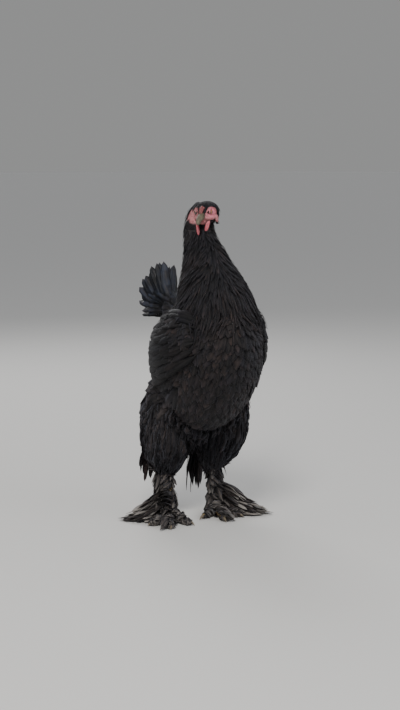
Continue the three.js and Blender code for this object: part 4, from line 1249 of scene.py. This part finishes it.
redFlesh = mottledMaterial("redFlesh", fleshFinish, (0.42, 0.045, 0.07), (0.62, 0.2, 0.22))
darkFlesh = mottledMaterial("darkFlesh", fleshFinish, (0.12, 0.018, 0.02), (0.24, 0.06, 0.058))
horn = mottledMaterial("beakHorn", hornFinish, (0.035, 0.03, 0.02), (0.15, 0.125, 0.075))
clawHorn = mottledMaterial("clawHorn", hornFinish, (0.07, 0.055, 0.04), (0.26, 0.21, 0.14))


def makeEye(name, side, solid):
    centre = faceward(side, eye["aside"], eye["ahead"], eye["above"])
    p, faces = ball((0, 0, 0), [1, 1, 1], 30, 40)
    p = p[:, [1, 0, 2]] * (side, 1, 1)  # pole looks aside
    out = p[:, 0] * side
    ring = np.degrees(np.arccos(np.clip(out, -1, 1))) / 62
    bulge = 1 + 0.05 * smooth(ring, 0.8, 0.4)
    piece = meshObject(name, onHead(centre + p * (eye["radius"] * bulge)[:, None]), faces)
    attribute(piece.data, "ring", np.clip(ring, 0, 1))
    finishPiece(piece, eyeMaterial(side), solid)


makeEye("eyeLeft", 1, "eye_left")
makeEye("eyeRight", -1, "eye_right")

beak = {
    "root": 21, "mouth": -3, "nostril": (6.9, 30, 2.6),
    "upper": {"length": 34, "width": 8.4, "height": 8.6, "drop": -0.5, "hook": 7, "ridge": 0.06},
    "lower": {"length": 24, "width": 7.2, "height": 6.6, "drop": -2.5, "hook": 1, "ridge": 0},
}


def beakForm(size):
    def surface(at, angle):
        at, angle = np.broadcast_arrays(at, np.radians(angle))
        full = np.sqrt(np.maximum(1 - at ** 1.8, 0)) * np.sqrt(np.clip(at / 0.03, 0, 1))
        up = np.sin(angle)
        keel = 1 + size["ridge"] * np.maximum(up, 0) ** 6
        return np.stack([np.cos(angle) * size["width"] * full, -beak["root"] - at * size["length"],
                         size["drop"] - size["hook"] * at ** 2 + up * size["height"] * full * keel], -1)
    return shell(surface, 26, 32)


def boxForm(low, high):
    low, high = np.array(low, float), np.array(high, float)
    corner = np.array([[x, y, z] for x in (0, 1) for y in (0, 1) for z in (0, 1)]) * (high - low) + low
    return corner, [(0, 1, 3, 2), (4, 6, 7, 5), (0, 4, 5, 1), (2, 3, 7, 6), (0, 2, 6, 4), (1, 5, 7, 3)]


def cut(piece, shells):
    points, faces = merged(shells)
    other = meshObject("cutter", onHead(points), faces)
    outwards(other)
    applied(piece, "BOOLEAN", operation="DIFFERENCE", object=other, solver="EXACT")
    bpy.data.objects.remove(other)


def makeBeak():
    mouth = beak["mouth"]
    end = beak["root"] + beak["lower"]["length"] + 1  # how far the lower half reaches under the upper one
    nostrils = [ball(faceward(side, *beak["nostril"]), (1.7, 3.2, 1.1)) for side in (1, -1)]
    below = boxForm((-30, -end, mouth - 40), (30, 0, mouth + 0.1))
    above = boxForm((-30, -80, mouth - 0.4), (30, 0, mouth + 40))
    for name, part, solid, cutters in (("beakUpper", "upper", "beak_upper", [below, *nostrils]),
                                       ("beakLower", "lower", "beak_lower", [above])):
        points, faces = beakForm(beak[part])
        piece = meshObject(name, onHead(points), faces)
        outwards(piece)
        cut(piece, cutters)
        applied(piece, "BEVEL", width=0.35 * mm, segments=2, limit_method="ANGLE",
                angle_limit=math.radians(50))
        smoothed(piece.data)
        finishPiece(piece, horn, solid)


makeBeak()

comb = {"back": 12, "front": 28, "low": 8, "high": 15.5}


def makeComb():
    draw = np.random.default_rng(200)
    ridge = lambda s: lerp(comb["high"], comb["low"], s * s)
    line = lambda s: np.stack([0 * s, -lerp(comb["back"], comb["front"], s), ridge(s) - 2], -1)
    forms = [rod(line, lambda s: 4.6 - 1.6 * s, 20, 16)]
    for aside, tall, count in ((-4, 1.4, 6), (0, 3.0, 7), (4, 1.4, 6)):
        for number in range(count):
            s = np.array((number + 0.4) / count)
            size = (2.5 if aside == 0 else 2.1) * (1 - 0.25 * s) * draw.uniform(0.85, 1.15)
            middle = line(s) + (aside * (1 - 0.3 * s), draw.normal(0, 0.3), tall + draw.normal(0, 0.3))
            forms.append(ball(middle, (size, size * 1.05, size * 1.1), 10, 14))
    piece = blended("combBulbs", [(onHead(p), f) for p, f in forms], 0.55, 2)
    finishPiece(piece, darkFlesh, "comb")


wattle = {"ahead": 22, "aside": 14, "below": 26, "wide": 10.6, "long": 14.6, "thick": 2.6, "fold": 1.4,
          "inward": 6, "plumb": 0.5}


def makeWattle(name, side, solid, size):
    def surface(at, angle):
        px, py, pz = ballPoint(at, angle)
        down = (1 - pz) / 2
        across = py * wattle["wide"] * (1 - 0.25 * down)
        ripple = wattle["fold"] * np.sin(4.5 * py + 1) * down + 0.35 * np.sin(13 * py + 4 * pz)
        out = (wattle["aside"] - wattle["inward"] * down + (1 - down) * 0.35 * across + ripple
               + px * wattle["thick"] * (0.7 + 0.5 * down))
        ahead = wattle["ahead"] - across + 2 * wattle["plumb"] * wattle["long"] * down
        return np.stack([side * out, -ahead, -wattle["below"] + pz * wattle["long"]], -1)
    p, f = shell(surface, 40, 48)
    root = faceward(side, wattle["aside"], wattle["ahead"], -wattle["below"] + wattle["long"])
    piece = meshObject(name, onHead(root + (p - root) * (1, size, size)), f)
    finishPiece(piece, redFlesh, solid)


makeComb()
makeWattle("wattleLeft", 1, "wattle_left", 0.65)
makeWattle("wattleRight", -1, "wattle_right", 0.92)


def makeClaws():
    for legName, leg in legs.items():
        for name in toes["each"]:
            _, way, tip = toeLine(leg, name)
            tip = tip * (1, 1, 0)
            ends = [tip + way * along + (0, 0, z) for along, z in (
                (-claws["sunk"], toes["tip"]), (claws["length"] * 0.4, toes["tip"] + 0.8),
                (claws["length"], claws["drop"]))]
            p, f = rod(lambda s: through(*ends, s), lambda s: lerp(claws["radius"], claws["tip"], s ** 1.5),
                       18, 16, acrossWay(way))
            p[:, 2] = np.maximum(p[:, 2], 0.05)
            piece = meshObject(f"claw{legName.title()}{name.title()}", p, f)
            finishPiece(piece, clawHorn, f"claw_{legName}_{name}")


makeClaws()
print("head and claws")


def makeFloor():
    bpy.ops.mesh.primitive_plane_add(size=300, location=(0, 0, -0.0005))
    floor = bpy.context.object
    floor.name = "floor"
    material, nodes, shader = newMaterial("paleFloor")
    nodes.put(shader, {"Base Color": (0.62, 0.61, 0.59), "Roughness": 0.9})
    floor.data.materials.append(material)


lights = table("name place size power colour",
               ("key", (-1.6, -2.0, 3.0), 1.0, 100, (1, 0.98, 0.95)),
               ("fill", (1.6, -2.6, 1.6), 2.2, 22, (0.92, 0.95, 1)),
               ("rim", (0.6, 2.4, 2.2), 1.4, 36, (1, 1, 1)))
lightAim = (0, 0, 0.35)


def makeLight(lamp):
    data = bpy.data.lights.new(lamp["name"], "AREA")
    data.size, data.energy, data.color = lamp["size"], lamp["power"], lamp["colour"]
    light = linked(lamp["name"], data)
    light.location = lamp["place"]
    light.rotation_euler = (Vector(lightAim) - Vector(lamp["place"])).to_track_quat("-Z", "Y").to_euler()


makeFloor()
for lamp in lights:
    makeLight(lamp)
world = bpy.data.worlds.new("studio")
bpy.context.scene.world = world
world.use_nodes = True
sky = Nodes(world.node_tree)
daylight = sky.tree.nodes["Background"]
sky.put(daylight.inputs, {"Color": (0.82, 0.84, 0.87), "Strength": 0.55})
backdrop = sky.add("Background", {"Color": (0.292, 0.294, 0.293)})
seen = {0: sky.add("LightPath", {}, "Is Camera Ray"), 1: daylight.outputs[0], 2: backdrop}
sky.put(sky.tree.nodes["World Output"].inputs, {"Surface": sky.add("MixShader", seen)})
